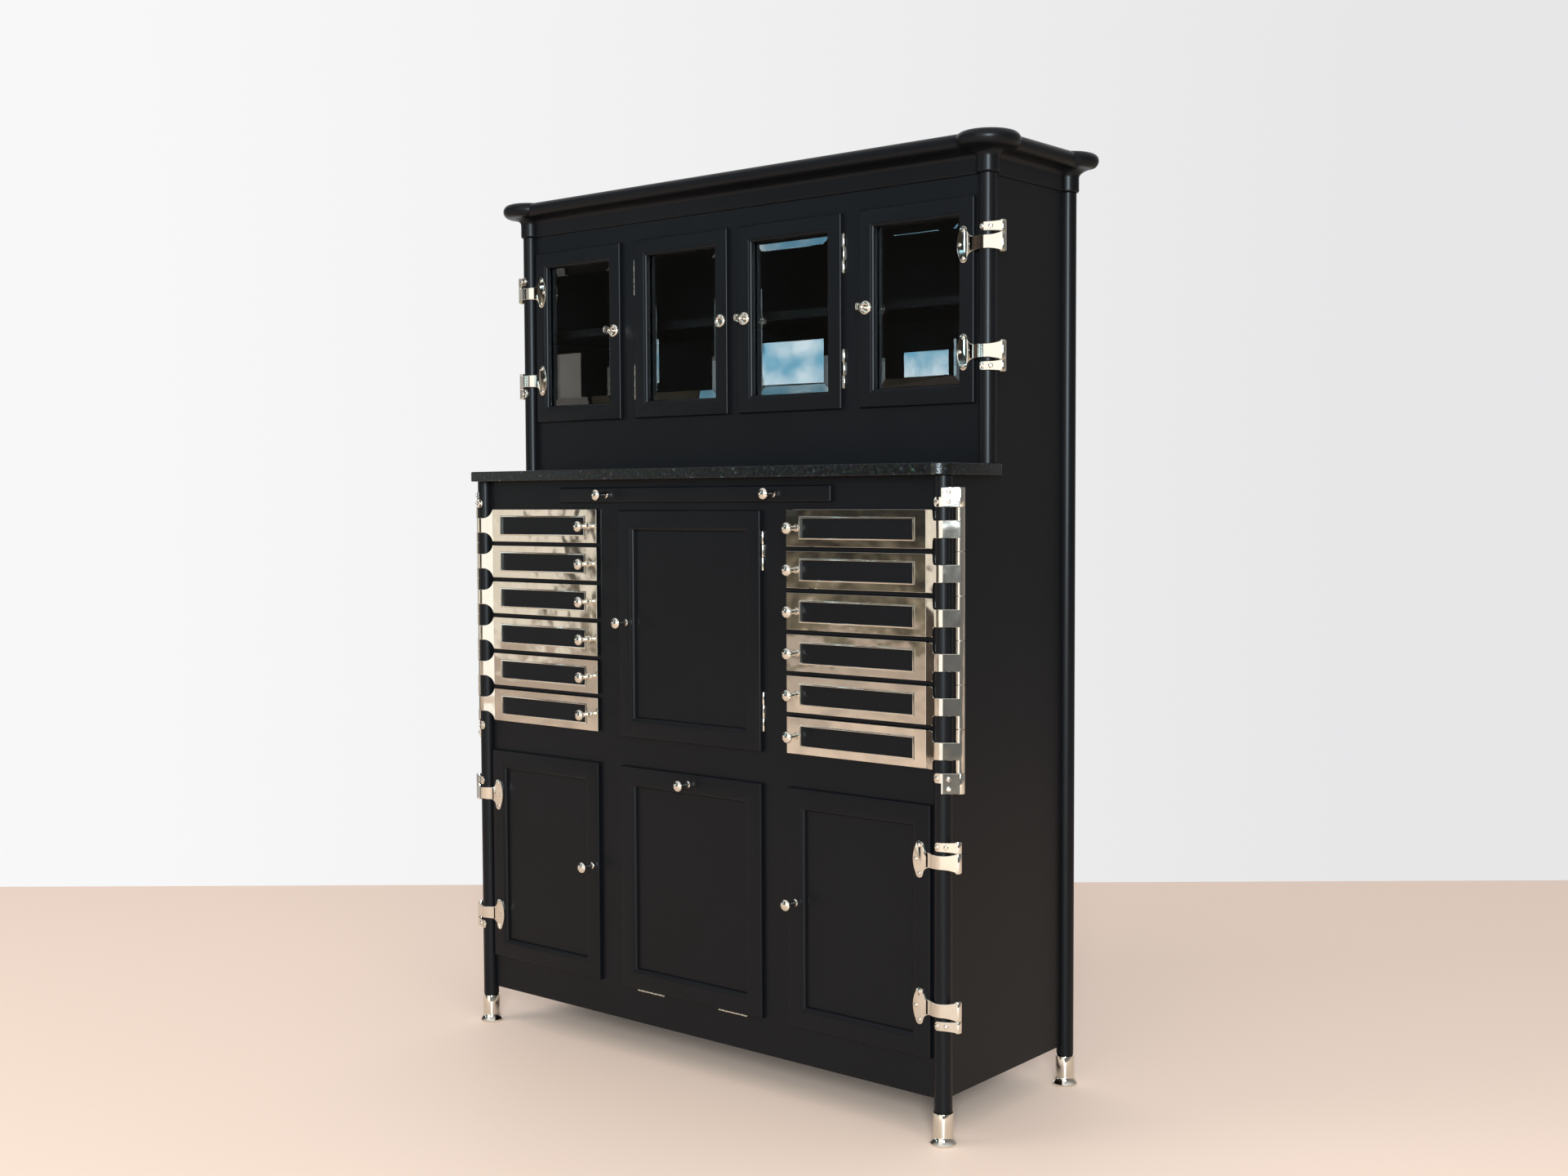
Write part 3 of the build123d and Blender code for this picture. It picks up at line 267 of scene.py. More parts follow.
def lacquer(name, grain_turn=(0, 0, 0)):
    """Sprayed satin lacquer: faint orange peel over a ghost of the grain, uneven sheen."""
    finish, tree, shader = new_finish(name, {"Specular IOR Level": 0.16})
    place = node(tree, "ShaderNodeTexCoord")["Object"]
    along = node(tree, "ShaderNodeMapping", {
        "Vector": place, "Rotation": grain_turn, "Scale": (260, 260, 7),
    })[0]
    grain = noise(tree, along, 1.0, 3)
    peel = noise(tree, place, 420, 2)
    clouds = noise(tree, place, 5, 4)
    depth = maths(tree, "MULTIPLY_ADD", grain, 0.5, peel)
    dark, light = ((*[c * share for c in black], 1) for share in (0.8, 1.3))
    feed(tree, shader, {
        "Base Color": blend(tree, clouds, dark, light),
        "Roughness": ranged(tree, clouds, 0, 1, satin - 0.05, satin + 0.06),
        "Normal": bumps(tree, depth, 0.22, 0.00012),
    })
    return finish


black_upright = lacquer("black_lacquer_upright")
black_level = lacquer("black_lacquer_level", (0, math.radians(90), 0))


def repaint(name, finish):
    """Gives a CAD piece its real finish."""
    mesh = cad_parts[name].data
    mesh.materials.clear()
    mesh.materials.append(finish)


for name in ("side_panels", "back_panel", "lower_face_frame", "upper_face_frame", "carcass_boards"):
    repaint(name, black_upright)


# Corner posts: turned rounds of 28 mm, lacquered like the case. The front pair stops under
# the counter and starts again on top of it, set back with the upper cupboard.
half_width = 515.0
post_r = 14.0
post_edge = 1.0
post_foot = 50.0
counter_z = (1014.0, 1032.0)
crown_foot = 1476.0
front_y = 0.0
upper_y = 120.0
rear_y = 358.0
plan_shift = 170.25


def cabinet_piece(name, parts, finish, slot, body, *stands_for, crease=32, soften=0.0):
    """One piece from mesh parts drawn in mm, depths counted from the front posts' centres."""
    sheet = bmesh.new()
    for points, faces in parts:
        places = [(x / 1000, (y - plan_shift) / 1000, z / 1000) for x, y, z in points]
        corners = [sheet.verts.new(place) for place in places]
        shell = [sheet.faces.new([corners[i] for i in face]) for face in faces]
        bmesh.ops.recalc_face_normals(sheet, faces=shell)
    mesh = bpy.data.meshes.new(name)
    sheet.to_mesh(mesh)
    sheet.free()
    mesh.polygons.foreach_set("use_smooth", [True] * len(mesh.polygons))
    mesh.set_sharp_from_angle(angle=math.radians(crease))
    mesh.materials.append(finish)
    made = bpy.data.objects.new(name, mesh)
    bpy.context.scene.collection.objects.link(made)
    if soften:
        edge = made.modifiers.new("softened edges", "BEVEL")
        edge.width = soften / 1000
        edge.segments = 2
        edge.limit_method = "ANGLE"
        edge.angle_limit = math.radians(50)
        edge.harden_normals = True
    if stands_for:
        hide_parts(*stands_for)
    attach(made, body)


def turned(outline, place, lean=(0, 0, 1), steps=40):
    """A piece turned from (radius, height) points, its axis through place along lean."""
    turn = Vector((0, 0, 1)).rotation_difference(Vector(lean))
    points, faces, rings = [], [], []
    for radius, height in outline:
        count = steps if radius > 1e-6 else 1
        rings.append([len(points) + i for i in range(count)])
        for i in range(count):
            angle = 2 * math.pi * i / count
            spot = turn @ Vector((radius * math.cos(angle), radius * math.sin(angle), height))
            points.append(tuple(spot + Vector(place)))
    for ring, following in zip(rings, rings[1:]):
        for i in range(steps):
            j = (i + 1) % steps
            loop = [ring[i % len(ring)], ring[j % len(ring)]]
            loop += [following[j % len(following)], following[i % len(following)]]
            loop = [k for n, k in enumerate(loop) if k != loop[n - 1]]
            if len(loop) > 2:
                faces.append(loop)
    return points, faces


def other_side(parts):
    """The mirrored parts on the left of the cabinet."""
    return [([(-x, y, z) for x, y, z in points], [tuple(reversed(f)) for f in faces])
            for points, faces in parts]


def both(parts):
    return parts + other_side(parts)


def round_post(y, z0, z1):
    outline = [(0, z0), (post_r - post_edge, z0), (post_r, z0 + post_edge),
               (post_r, z1 - post_edge), (post_r - post_edge, z1), (0, z1)]
    return turned(outline, (half_width, y, 0), steps=48)


posts = [
    round_post(front_y, post_foot, counter_z[0]),
    round_post(upper_y, counter_z[1], crown_foot),
    round_post(rear_y, post_foot, crown_foot),
]
cabinet_piece("corner_rounds", both(posts), black_upright, "black_lacquer", "case", "corner_posts")


# Ferrules: nickel sockets that hold the posts off the floor. Each is spun to a thin
# flared foot and pushed up over the end of its post.
ferrule_r = 15.5
ferrule_flare = 4.94
flare_top = 16.0
flare_high = 13.0


def nickel(name, wave, tint):
    """Polished nickel: warm white metal, hand-buffed waves, hairlines and faint clouding."""
    finish, tree, shader = new_finish(name, {"Metallic": 1.0})
    place = node(tree, "ShaderNodeTexCoord")["Object"]
    stretch = node(tree, "ShaderNodeMapping", {
        "Vector": place, "Rotation": (0.3, 0.2, 0.1), "Scale": (140, 700, 1500),
    })[0]
    waves = noise(tree, place, 18, 1.5)
    hairs = noise(tree, stretch, 1, 2)
    clouds = noise(tree, place, 55, 5)
    wavy = bumps(tree, waves, wave, 0.006)
    feed(tree, shader, {
        "Base Color": blend(tree, clouds, (*tint, 1), (*[c * 0.86 for c in tint], 1)),
        "Roughness": ranged(tree, clouds, 0.35, 0.75, 0.05, 0.10),
        "Normal": bumps(tree, hairs, 0.06, 0.0001, wavy),
    })
    return finish


polished = nickel("polished_nickel", 0.02, (0.78, 0.74, 0.65))


def nickel_piece(name, parts, body, *stands_for):
    """A piece of the fittings in polished nickel."""
    cabinet_piece(name, parts, polished, "nickel", body, *stands_for)


ferrule_profile = [(0, 49.6), (14.1, 49.6), (15.1, 49.2), (ferrule_r, 48.2)]
ferrule_profile.append((ferrule_r, flare_top))
for step in range(1, 13):
    share = step / 12
    flared = ferrule_r + ferrule_flare * share ** 2
    ferrule_profile.append((flared, flare_top - flare_high * share))
ferrule_profile += [(20.44, 2.2), (20.04, 0.9), (19.34, 0.3), (18.44, 0), (0, 0)]
ferrules = [turned(ferrule_profile, (half_width, y, 0), steps=48) for y in (front_y, rear_y)]
nickel_piece("post_ferrules", both(ferrules), "case", "foot_ferrules")


# Counter: a slab of black stone, 18 mm thick, polished on top, with rounded corners and
# softened arrises. It lies loose on the base and the upper cupboard stands on it.
counter_x = half_width + 21
counter_front = -31.0
counter_back = upper_y + post_r
front_corner_r = 27.0
back_corner_r = 8.0


def speckled_stone():
    """Black stone: grey-green flecks, crystals that glint unevenly, and fine pits."""
    finish, tree, shader = new_finish("black_speckled_stone", {"Specular IOR Level": 0.35})
    place = node(tree, "ShaderNodeTexCoord")["Object"]
    grains = node(tree, "ShaderNodeTexVoronoi", {"Vector": place, "Scale": 420})
    veil = noise(tree, place, 160, 6)
    flecks = colour_steps(tree, veil, [
        (0.46, (0.004, 0.005, 0.005)),
        (0.64, (0.010, 0.0125, 0.0118)),
        (0.78, (0.14, 0.165, 0.158)),
    ])
    feed(tree, shader, {
        "Base Color": blend(tree, 0.8, flecks, grains["Color"], "MULTIPLY"),
        "Roughness": ranged(tree, veil, 0, 1, 0.12, 0.42),
        "Normal": bumps(tree, grains["Distance"], 0.5, 0.0003),
    })
    return finish


def arc(cx, cy, radius, start, end, steps):
    """Points round part of a circle, its angles in degrees."""
    turns = [math.radians(start + (end - start) * i / steps) for i in range(steps + 1)]
    return [(cx + radius * math.cos(t), cy + radius * math.sin(t)) for t in turns]


def skinned(count, rings, closed=False):
    """Faces over rings of points, closed to a loop or with a cap on each end."""
    faces = []
    for ring in range(rings if closed else rings - 1):
        a, b = count * ring, count * ((ring + 1) % rings)
        faces += [(a + k, a + (k + 1) % count, b + (k + 1) % count, b + k) for k in range(count)]
    if closed:
        return faces
    return faces + [tuple(range(count)), tuple(range(count * (rings - 1), count * rings))]


def slab(outline, z0, z1):
    """A board with the given outline in plan."""
    points = [(x, y, z) for z in (z0, z1) for x, y in outline]
    return points, skinned(len(outline), 2)


front_turn, back_turn = counter_x - front_corner_r, counter_x - back_corner_r
right_half = arc(front_turn, counter_front + front_corner_r, front_corner_r, -90, 0, 12)
right_half += arc(back_turn, counter_back - back_corner_r, back_corner_r, 0, 90, 4)
outline = right_half + [(-x, y) for x, y in reversed(right_half)]
cabinet_piece("stone_counter", [slab(outline, *counter_z)], speckled_stone(), "black_stone",
              "case", "counter_top", soften=1.6)


# Cornice: a bullnose over a cove and a plain foot, run in wood along the front and sides,
# with a wider turned cap over each post. The lid lies inside it, level with its top.
crown_top = 1536.0
cap_top = 1537.0
crown_back = 372.0
run_depth = 18
lid_foot = 1520
lid_top = 1535.6


def crown(reach, foot, top):
    """The crown's outline as (distance out, height) points from its top edge down."""
    nose_r = 12.5
    cove_h = 12
    foot_r = 3
    nose_x = reach - nose_r
    points = arc(nose_x, top - nose_r, nose_r, 90, -84, 14)
    cove_top = top - 2 * nose_r - 0.2
    for i in range(11):
        turn = math.radians(9 * i)
        out = foot + (nose_x - 0.5 - foot) * (1 - math.sin(turn))
        points.append((out, cove_top - cove_h * (1 - math.cos(turn))))
    return points + arc(foot - foot_r, crown_foot + foot_r, foot_r, 0, -90, 5)


def moulding(start, end, out, profile):
    """A straight run of moulding between two plan points, its profile standing out sideways."""
    points = [(x + out[0] * p, y + out[1] * p, z) for x, y in (start, end) for p, z in profile]
    return points, skinned(len(profile), 2)


def cut_off_behind(part, y):
    """The part of a turned cap that lies in front of the wall."""
    sheet = bmesh.new()
    corners = [sheet.verts.new(p) for p in part[0]]
    for face in part[1]:
        sheet.faces.new([corners[i] for i in face])
    everything = sheet.verts[:] + sheet.edges[:] + sheet.faces[:]
    cut = bmesh.ops.bisect_plane(
        sheet, geom=everything, plane_co=(0, y, 0), plane_no=(0, 1, 0), clear_outer=True)
    rim = [e for e in cut["geom_cut"] if isinstance(e, bmesh.types.BMEdge)]
    bmesh.ops.edgeloop_fill(sheet, edges=rim)
    sheet.verts.index_update()
    kept = [tuple(v.co) for v in sheet.verts], [[v.index for v in f.verts] for f in sheet.faces]
    sheet.free()
    return kept


def board(x0, x1, y0, y1, z0, z1):
    """A squared board between two corners."""
    return slab([(x0, y0), (x1, y0), (x1, y1), (x0, y1)], z0, z1)


run = [(-run_depth, crown_top)] + crown(36, 4, crown_top) + [(-run_depth, crown_foot)]
front_run = moulding((-half_width, upper_y), (half_width, upper_y), (0, -1), run)
side_run = moulding((half_width, upper_y), (half_width, crown_back), (1, 0), run)
cap_outline = [(0, cap_top)] + crown(51, post_r + 4, cap_top) + [(0, crown_foot)]
front_cap = turned(cap_outline, (half_width, upper_y, 0), steps=72)
rear_cap = cut_off_behind(turned(cap_outline, (half_width, rear_y, 0), steps=72), crown_back)
lid_x = half_width - run_depth
lid = board(-lid_x, lid_x, upper_y + run_depth, crown_back, lid_foot, lid_top)
back_rail = board(-lid_x, lid_x, 350, crown_back, crown_foot, lid_foot)
crown_parts = [front_run, lid, back_rail] + both([side_run, front_cap, rear_cap])
cabinet_piece("crown_moulding", crown_parts, black_level, "black_lacquer", "case", "cornice",
              crease=40)


# Panelled doors: wooden frames, mitred and lipped over the opening, with a rounded outer
# edge and an ovolo to the flat panel, lacquered after assembly.
front_lip = 8.0
frame_width = 35.0
frame_seat = -0.4
core_inset = 12.5
core_back = 10
panel_t = 6
low_row = (128.0, 516.0)
mid_row = (568.0, 961.0)
corner_door_x = (216.0, 496.0)
corner_core_x = (219.5, 484.0)
centre_door_x = (-161, 161)
centre_core_x = (-148.5, 148.5)


def framed(rectangles, closed=True):
    """A skin over rectangles (x0, x1, z0, z1, y), closed to a ring or capped at both ends."""
    points = []
    for x0, x1, z0, z1, y in rectangles:
        points += [(x0, y, z0), (x1, y, z0), (x1, y, z1), (x0, y, z1)]
    return points, skinned(4, len(rectangles), closed)


def inset(rectangle, amount, y):
    """A rectangle drawn in by an amount on all sides, at depth y."""
    x0, x1, z0, z1 = rectangle
    return (x0 + amount, x1 - amount, z0 + amount, z1 - amount, y)


def door_frame(around, y, width, ovolo):
    """The lipped frame of a door whose face frame stands at depth y."""
    front = y - front_lip
    edge_r = 3.0
    quirk = 0.3
    step_in = 0.9
    bead_x = width - ovolo + quirk
    section = [(0, y + frame_seat)] + arc(edge_r, front + edge_r, edge_r, 180, 270, 6)
    section += [(width - ovolo, front), (bead_x, front + step_in)]
    for i in range(1, 9):
        turn = math.radians(90 - 90 * i / 8)
        out = (ovolo - quirk) * math.cos(turn)
        section.append((bead_x + out, front + ovolo - (ovolo - step_in) * math.sin(turn)))
    section.append((width, y + frame_seat))
    return framed([inset(around, p, q) for p, q in section])


def core_ring(outside, inside, y0, y1):
    """The thicker part of a frame that fills the opening."""
    return framed([(*outside, y0), (*inside, y0), (*inside, y1), (*outside, y1)])


def panelled_door(door_x, core_x, row):
    """Frame, core and flat panel of a lower door."""
    around = (*door_x, *row)
    x0, x1, z0, z1 = sight = inset(around, frame_width, 0)[:4]
    core_around = (*core_x, row[0] + core_inset, row[1] - core_inset)
    core = core_ring(core_around, sight, frame_seat, core_back)
    return [door_frame(around, 0, frame_width, 7), core, board(x0, x1, 0, panel_t, z0, z1)]


def joinery(name, parts, body, stands_for, finish=black_upright):
    """A lacquered leaf or board with softened arrises."""
    cabinet_piece(name, parts, finish, "black_lacquer", body, stands_for, soften=0.4)


side_parts = panelled_door(corner_door_x, corner_core_x, low_row)
joinery("right_door_leaf", side_parts, "right_door", "right_door_panel")
joinery("left_door_leaf", other_side(side_parts), "left_door", "left_door_panel")
centre_parts = panelled_door(centre_door_x, centre_core_x, mid_row)
joinery("centre_door_leaf", centre_parts, "centre_door", "centre_door_panel")


# Bin: its lacquered front is made like a door, and behind it hangs a wooden box of 6 mm
# board, with a floor, a back wall and two sloping cheeks.
box_t = 6.0
box_x = 141.5
box_y = (10, 210)
box_floor = 140.5
box_back_top = 400
box_front_top = 495
cheek_side = [(box_y[0], box_floor), (box_y[1], box_floor),
              (box_y[1], box_back_top), (box_y[0], box_front_top)]
cheek = [(x, y, z) for x in (box_x, box_x + box_t) for y, z in cheek_side], skinned(4, 2)
bin_parts = panelled_door(centre_door_x, centre_core_x, low_row) + both([cheek])
bin_parts.append(board(-box_x, box_x, *box_y, box_floor, box_floor + box_t))
bin_parts.append(board(-box_x, box_x, box_y[1] - box_t, box_y[1], box_floor + box_t, box_back_top))
joinery("tilting_bin", bin_parts, "tilt_bin", "bin_flap")


# Pull-out board: a writing slide of lacquered wood that runs in the case under the
# counter, its front strip rounded on all edges.
strip_around = (-307, 307, 974.5, 1001)
strip_front = -8
strip_edge_r = 3
strip_section = [(0, frame_seat)]
strip_section += arc(strip_edge_r, strip_front + strip_edge_r, strip_edge_r, 180, 270, 6)
strip = framed([inset(strip_around, p, q) for p, q in strip_section], closed=False)
writing_board = board(-300, 300, frame_seat, 330, 977.75, 997.75)
joinery("writing_slide", [strip, writing_board], "pull_out_board", "slide_board", black_level)


# Knobs: nickel balls on a waisted stem, each turned with a thin rosette and screwed on
# from behind.
def knob(x, y, z):
    """A knob that stands forward from a face at depth y."""
    outline = [(0, 0), (5.6, 0), (6.0, 0.4), (5.9, 1.2), (5.0, 2.2), (4.3, 3.4)]
    outline += [(3.9, 5.5), (3.8, 9.0), (4.0, 15.0), (4.4, 18.4), (5.2, 20.1)]
    for i in range(11):
        turn = math.radians(-46 + 136 * i / 10)
        outline.append((9.8 * math.cos(turn) if i < 10 else 0, 25 + 5 * math.sin(turn)))
    return turned(outline, (x, y, z), lean=(0, -1, 0), steps=32)


slide_knobs = both([knob(190, strip_front, 987.75)])
nickel_piece("writing_slide_knobs", slide_knobs, "pull_out_board", "slide_knobs")


# Screws: slotted round heads of nickelled steel that hold the wrap hinges and the rod
# brackets. They were driven by hand, so no two slots line up.
def screw_tree():
    """Geometry nodes that set one slotted head on each point, facing the way it faces."""
    tree = bpy.data.node_groups.new("slotted screws", "GeometryNodeTree")
    tree.is_modifier = True
    for name, kind in (
        ("Seats", "Geometry"), ("Diameter", "Float"), ("Dome", "Float"), ("Slot width", "Float"),
        ("Slot depth", "Float"), ("Seed", "Int"), ("Metal", "Material"),
    ):
        tree.interface.new_socket(name, in_out="INPUT", socket_type="NodeSocket" + kind)
    tree.interface.new_socket("Screws", in_out="OUTPUT", socket_type="NodeSocketGeometry")
    given = node(tree, "NodeGroupInput")
    ball = node(tree, "GeometryNodeMeshUVSphere", {"Segments": 20, "Rings": 10, "Radius": 0.5})
    flat = node(tree, "ShaderNodeCombineXYZ", {"X": 1, "Y": 1, "Z": given["Dome"]})
    dome = node(tree, "GeometryNodeTransform", {"Geometry": ball["Mesh"], "Scale": flat[0]})
    blade_size = node(tree, "ShaderNodeCombineXYZ", {"X": given["Slot width"], "Y": 2, "Z": 1})
    blade = node(tree, "GeometryNodeMeshCube", {"Size": blade_size[0]})
    lift = maths(tree, "MULTIPLY_ADD", given["Slot depth"], -0.5, 0.71)
    lifted = node(tree, "ShaderNodeCombineXYZ", {"Z": lift})[0]
    raised = node(tree, "GeometryNodeTransform", {"Geometry": blade["Mesh"], "Translation": lifted})
    slotted = node(tree, "GeometryNodeMeshBoolean", {"Mesh 1": dome[0], "Mesh 2": raised[0]},
                   operation="DIFFERENCE")
    facing = node(tree, "GeometryNodeInputNamedAttribute", {"Name": "facing"},
                  data_type="FLOAT_VECTOR")
    align = node(tree, "FunctionNodeAlignRotationToVector", {"Vector": facing["Attribute"]},
                 axis="Z")
    chance = node(tree, "FunctionNodeRandomValue", {"Max": math.pi, "Seed": given["Seed"]},
                  data_type="FLOAT")
    spun = node(tree, "ShaderNodeCombineXYZ", {"Z": chance[1]})
    spin = node(tree, "FunctionNodeEulerToRotation", {0: spun[0]})
    turn = node(tree, "FunctionNodeRotateRotation", {"Rotation": align[0], "Rotate By": spin[0]},
                rotation_space="LOCAL")
    spots = node(tree, "GeometryNodeMeshToPoints", {"Mesh": given["Seats"]})
    heads = node(tree, "GeometryNodeInstanceOnPoints", {
        "Points": spots[0], "Instance": slotted["Mesh"],
        "Rotation": turn[0], "Scale": given["Diameter"],
    })
    real = node(tree, "GeometryNodeRealizeInstances", {0: heads[0]})
    coat = node(tree, "GeometryNodeSetMaterial", {"Geometry": real[0], "Material": given["Metal"]})
    node(tree, "NodeGroupOutput", {"Screws": coat[0]})
    return tree


screws_by_rule = screw_tree()


def screws(name, seats, diameter, body, seed):
    """One mesh of slotted heads. seats are (place in mm, direction it faces)."""
    mesh = bpy.data.meshes.new(name + "_seats")
    places = [(x / 1000, (y - plan_shift) / 1000, z / 1000) for (x, y, z), face in seats]
    mesh.from_pydata(places, [], [])
    facing = mesh.attributes.new("facing", "FLOAT_VECTOR", "POINT")
    for spot, (place, face) in zip(facing.data, seats):
        spot.vector = face
    holder = bpy.data.objects.new(name + "_seats", mesh)
    bpy.context.scene.collection.objects.link(holder)
    rule = holder.modifiers.new("screws", "NODES")
    rule.node_group = screws_by_rule
    given = {"Diameter": diameter / 1000, "Dome": 0.52, "Slot width": 0.16, "Slot depth": 0.20,
             "Seed": seed, "Metal": polished}
    for socket in screws_by_rule.interface.items_tree:
        if socket.name in given:
            rule[socket.identifier] = given[socket.name]
    graph = bpy.context.evaluated_depsgraph_get()
    made_mesh = bpy.data.meshes.new_from_object(holder.evaluated_get(graph))
    bpy.data.objects.remove(holder)
    made_mesh.name = name
    made_mesh.polygons.foreach_set("use_smooth", [True] * len(made_mesh.polygons))
    made_mesh.set_sharp_from_angle(angle=math.radians(35))
    made = bpy.data.objects.new(name, made_mesh)
    bpy.context.scene.collection.objects.link(made)
    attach(made, body)


# Wrap hinges: cast nickel. A bowed leaf is screwed to the door, its arm goes round the
# outside of the post to a knuckle, and a clamp strap on the post carries the pin.
leaf_t = 2.5
knuckle_r = 6.0
pin_out = 26.5
arm_gap = 0.6
hinge_screw_d = 7.0
clamp_screw_d = 8.0
low_hinges = (208.0, 433.0)
glass_hinges = (1205.0, 1370.0)


def strap(outer, inner, heights, z, soft=0.7):
    """A bent strap from plan points on its outer and inner face, each with its own height."""
    points = []
    for (ox, oy), (ix, iy), height in zip(outer, inner, heights):
        out = Vector((ox - ix, oy - iy)).normalized() * soft
        top = height / 2
        loop = [
            (ox, oy, -top + soft), (ox, oy, top - soft),
            (ox - out.x, oy - out.y, top), (ix + out.x, iy + out.y, top),
            (ix, iy, top - soft), (ix, iy, -top + soft),
            (ix + out.x, iy + out.y, -top), (ox - out.x, oy - out.y, -top),
        ]
        points += [(x, y, z + h) for x, y, h in loop]
    return points, skinned(8, len(heights))


def round_the_post(inner_r, thickness, start, centre, barrel_r, steps=14, spans=6):
    """Plan points of both faces of a strap that hugs a post at the origin and runs straight
    to a barrel, and the way the straight part faces."""
    outer_r = inner_r + thickness
    lean = math.acos((outer_r - barrel_r) / math.hypot(*centre))
    end = math.degrees(math.atan2(centre[1], centre[0]) - lean)
    outer = arc(0, 0, outer_r, start, end, steps)
    inner = arc(0, 0, inner_r, start, end, steps)
    face = (math.cos(math.radians(end)), math.sin(math.radians(end)))
    for i in range(1, spans + 1):
        share = i / spans
        middle = Vector(centre) * share
        outer.append(tuple(middle + Vector(face) * (outer_r + (barrel_r - outer_r) * share)))
        inside = inner_r + (barrel_r - thickness - inner_r) * share
        inner.append(tuple(middle + Vector(face) * inside))
    return outer, inner, face


def led_in(start, end, count, eased=False):
    """Plan points that lead from start to just short of end."""
    points = []
    for i in range(count):
        share = i / count
        rise = share * share * (3 - 2 * share) if eased else share
        x = start[0] + (end[0] - start[0]) * share
        points.append((x, start[1] + (end[1] - start[1]) * rise))
    return points


def shifted(part, dx, dy, dz=0.0):
    points, faces = part
    return [(x + dx, y + dy, z + dz) for x, y, z in points], faces


def flipped(part):
    """The part turned upside down."""
    points, faces = part
    return [(x, y, -z) for x, y, z in points], [tuple(reversed(f)) for f in faces]


def barrel(x, y, z0, z1, radius, edge=0.5, steps=32):
    """A short round with eased ends."""
    ease = edge * 0.3
    outline = [(0, z0), (radius - edge, z0), (radius - ease, z0 + ease), (radius, z0 + edge)]
    outline += [(radius, z1 - edge), (radius - ease, z1 - ease), (radius - edge, z1), (0, z1)]
    return turned(outline, (x, y, 0), steps=steps)


def arc_through(a, b, c, steps):
    """Points of the arc from a through b to c."""
    (ax, az), (bx, bz), (cx, cz) = a, b, c
    aa, bb, cc = ax ** 2 + az ** 2, bx ** 2 + bz ** 2, cx ** 2 + cz ** 2
    d = 2 * (ax * (bz - cz) + bx * (cz - az) + cx * (az - bz))
    ux = (aa * (bz - cz) + bb * (cz - az) + cc * (az - bz)) / d
    uz = (aa * (cx - bx) + bb * (ax - cx) + cc * (bx - ax)) / d
    radius = math.hypot(ax - ux, az - uz)
    start = math.atan2(az - uz, ax - ux)
    middle = (math.atan2(bz - uz, bx - ux) - start) % (2 * math.pi)
    end = (math.atan2(cz - uz, cx - ux) - start) % (2 * math.pi)
    if middle > end:
        end -= 2 * math.pi
    turns = [start + end * i / steps for i in range(steps + 1)]
    return [(ux + radius * math.cos(t), uz + radius * math.sin(t)) for t in turns]


def plate(outline, y0, y1, soft=0.8):
    """A flat cast plate from (x, z) points, its front face at y1 with an eased arris."""
    count = len(outline)
    centre = Vector((sum(p[0] for p in outline) / count, sum(p[1] for p in outline) / count))
    points = []
    for depth, shrink in ((y0, 0), (y1 + soft, 0), (y1 + soft * 0.3, 0.3 * soft), (y1, soft)):
        for x, z in outline:
            inward = (centre - Vector((x, z))).normalized() * shrink
            points.append((x + inward.x, depth, z + inward.y))
    return points, skinned(count, 4)


def flare(i, count):
    """How far point i has come along the last spans of a strap, from 0 to 1."""
    return max(0.0, (i - count + 7) / 6)


def leaf_half(edge_x, y, z):
    """Moving half of a wrap hinge on a right-hand door, and its screw seats."""
    face = y - front_lip - leaf_t
    x1 = edge_x - 1.5
    tip_x = x1 - 16.5
    tip_r = 6.5
    high = 28.5
    waist = 11.5
    bow_x = x1 - 28.5
    reach = high - tip_r
    near = (tip_x + tip_r, reach)
    beyond = (tip_x - tip_r, reach)
    dip = ((near[0] + x1) / 2 - tip_r / 4, (reach + waist) / 2 - tip_r / 4)
    upper = arc_through((x1, waist), dip, near, 6) + arc_through(near, (tip_x, high), beyond, 8)[1:]
    outside = arc_through(beyond, (bow_x, 0), (beyond[0], -reach), 18)[1:-1]
    outline = upper + outside + [(x, -h) for x, h in reversed(upper)]
    leaf = plate([(px, z + pz) for px, pz in outline], y - front_lip, face)
    outer, inner = round_the_post(post_r + arm_gap, leaf_t, -111.5, (pin_out, 0), knuckle_r)[:2]
    lead_x, lead_y, under_y = x1 - half_width, -front_lip - leaf_t, -front_lip
    outer = [(lead_x - 4, lead_y)] + led_in((lead_x, lead_y), outer[0], 5, eased=True) + outer
    inner = [(lead_x - 4, under_y)] + led_in((lead_x, under_y), inner[0], 5, eased=True) + inner
    count = len(outer)
    heights = [23 - 2 * min(1, i / 8) + 8 * flare(i, count) ** 2 for i in range(count)]
    arm = shifted(strap(outer, inner, heights, z), half_width, y)
    knuckle = barrel(half_width + pin_out, y, z - 14.5, z + 14.5, knuckle_r)
    spots = ((tip_x, z + reach - 0.4), (tip_x, z - reach + 0.4), (x1 - 23.5, z))
    return [leaf, arm, knuckle], [((px, face, pz), (0, -1, 0)) for px, pz in spots]


def round_seat(degrees, thickness, z):
    """Screw seat on a strap where it hugs the post."""
    turn = math.radians(degrees)
    out = post_r + thickness
    return (out * math.cos(turn), out * math.sin(turn), z), (math.cos(turn), math.sin(turn), 0)


def straight_seat(centre, face, thickness, barrel_r, z):
    """Screw seat on a strap's straight part, three tenths of the way to its barrel."""
    share = 0.3
    out = (post_r + thickness) + (barrel_r - (post_r + thickness)) * share
    return (centre[0] * share + face[0] * out, centre[1] * share + face[1] * out, z), (*face, 0)


def seats_moved(seats, dx, dy, dz):
    return [((x + dx, y + dy, z + dz), face) for (x, y, z), face in seats]


def mirrored_seats(seats):
    return [((-x, y, z), (-a, b, c)) for (x, y, z), (a, b, c) in seats]


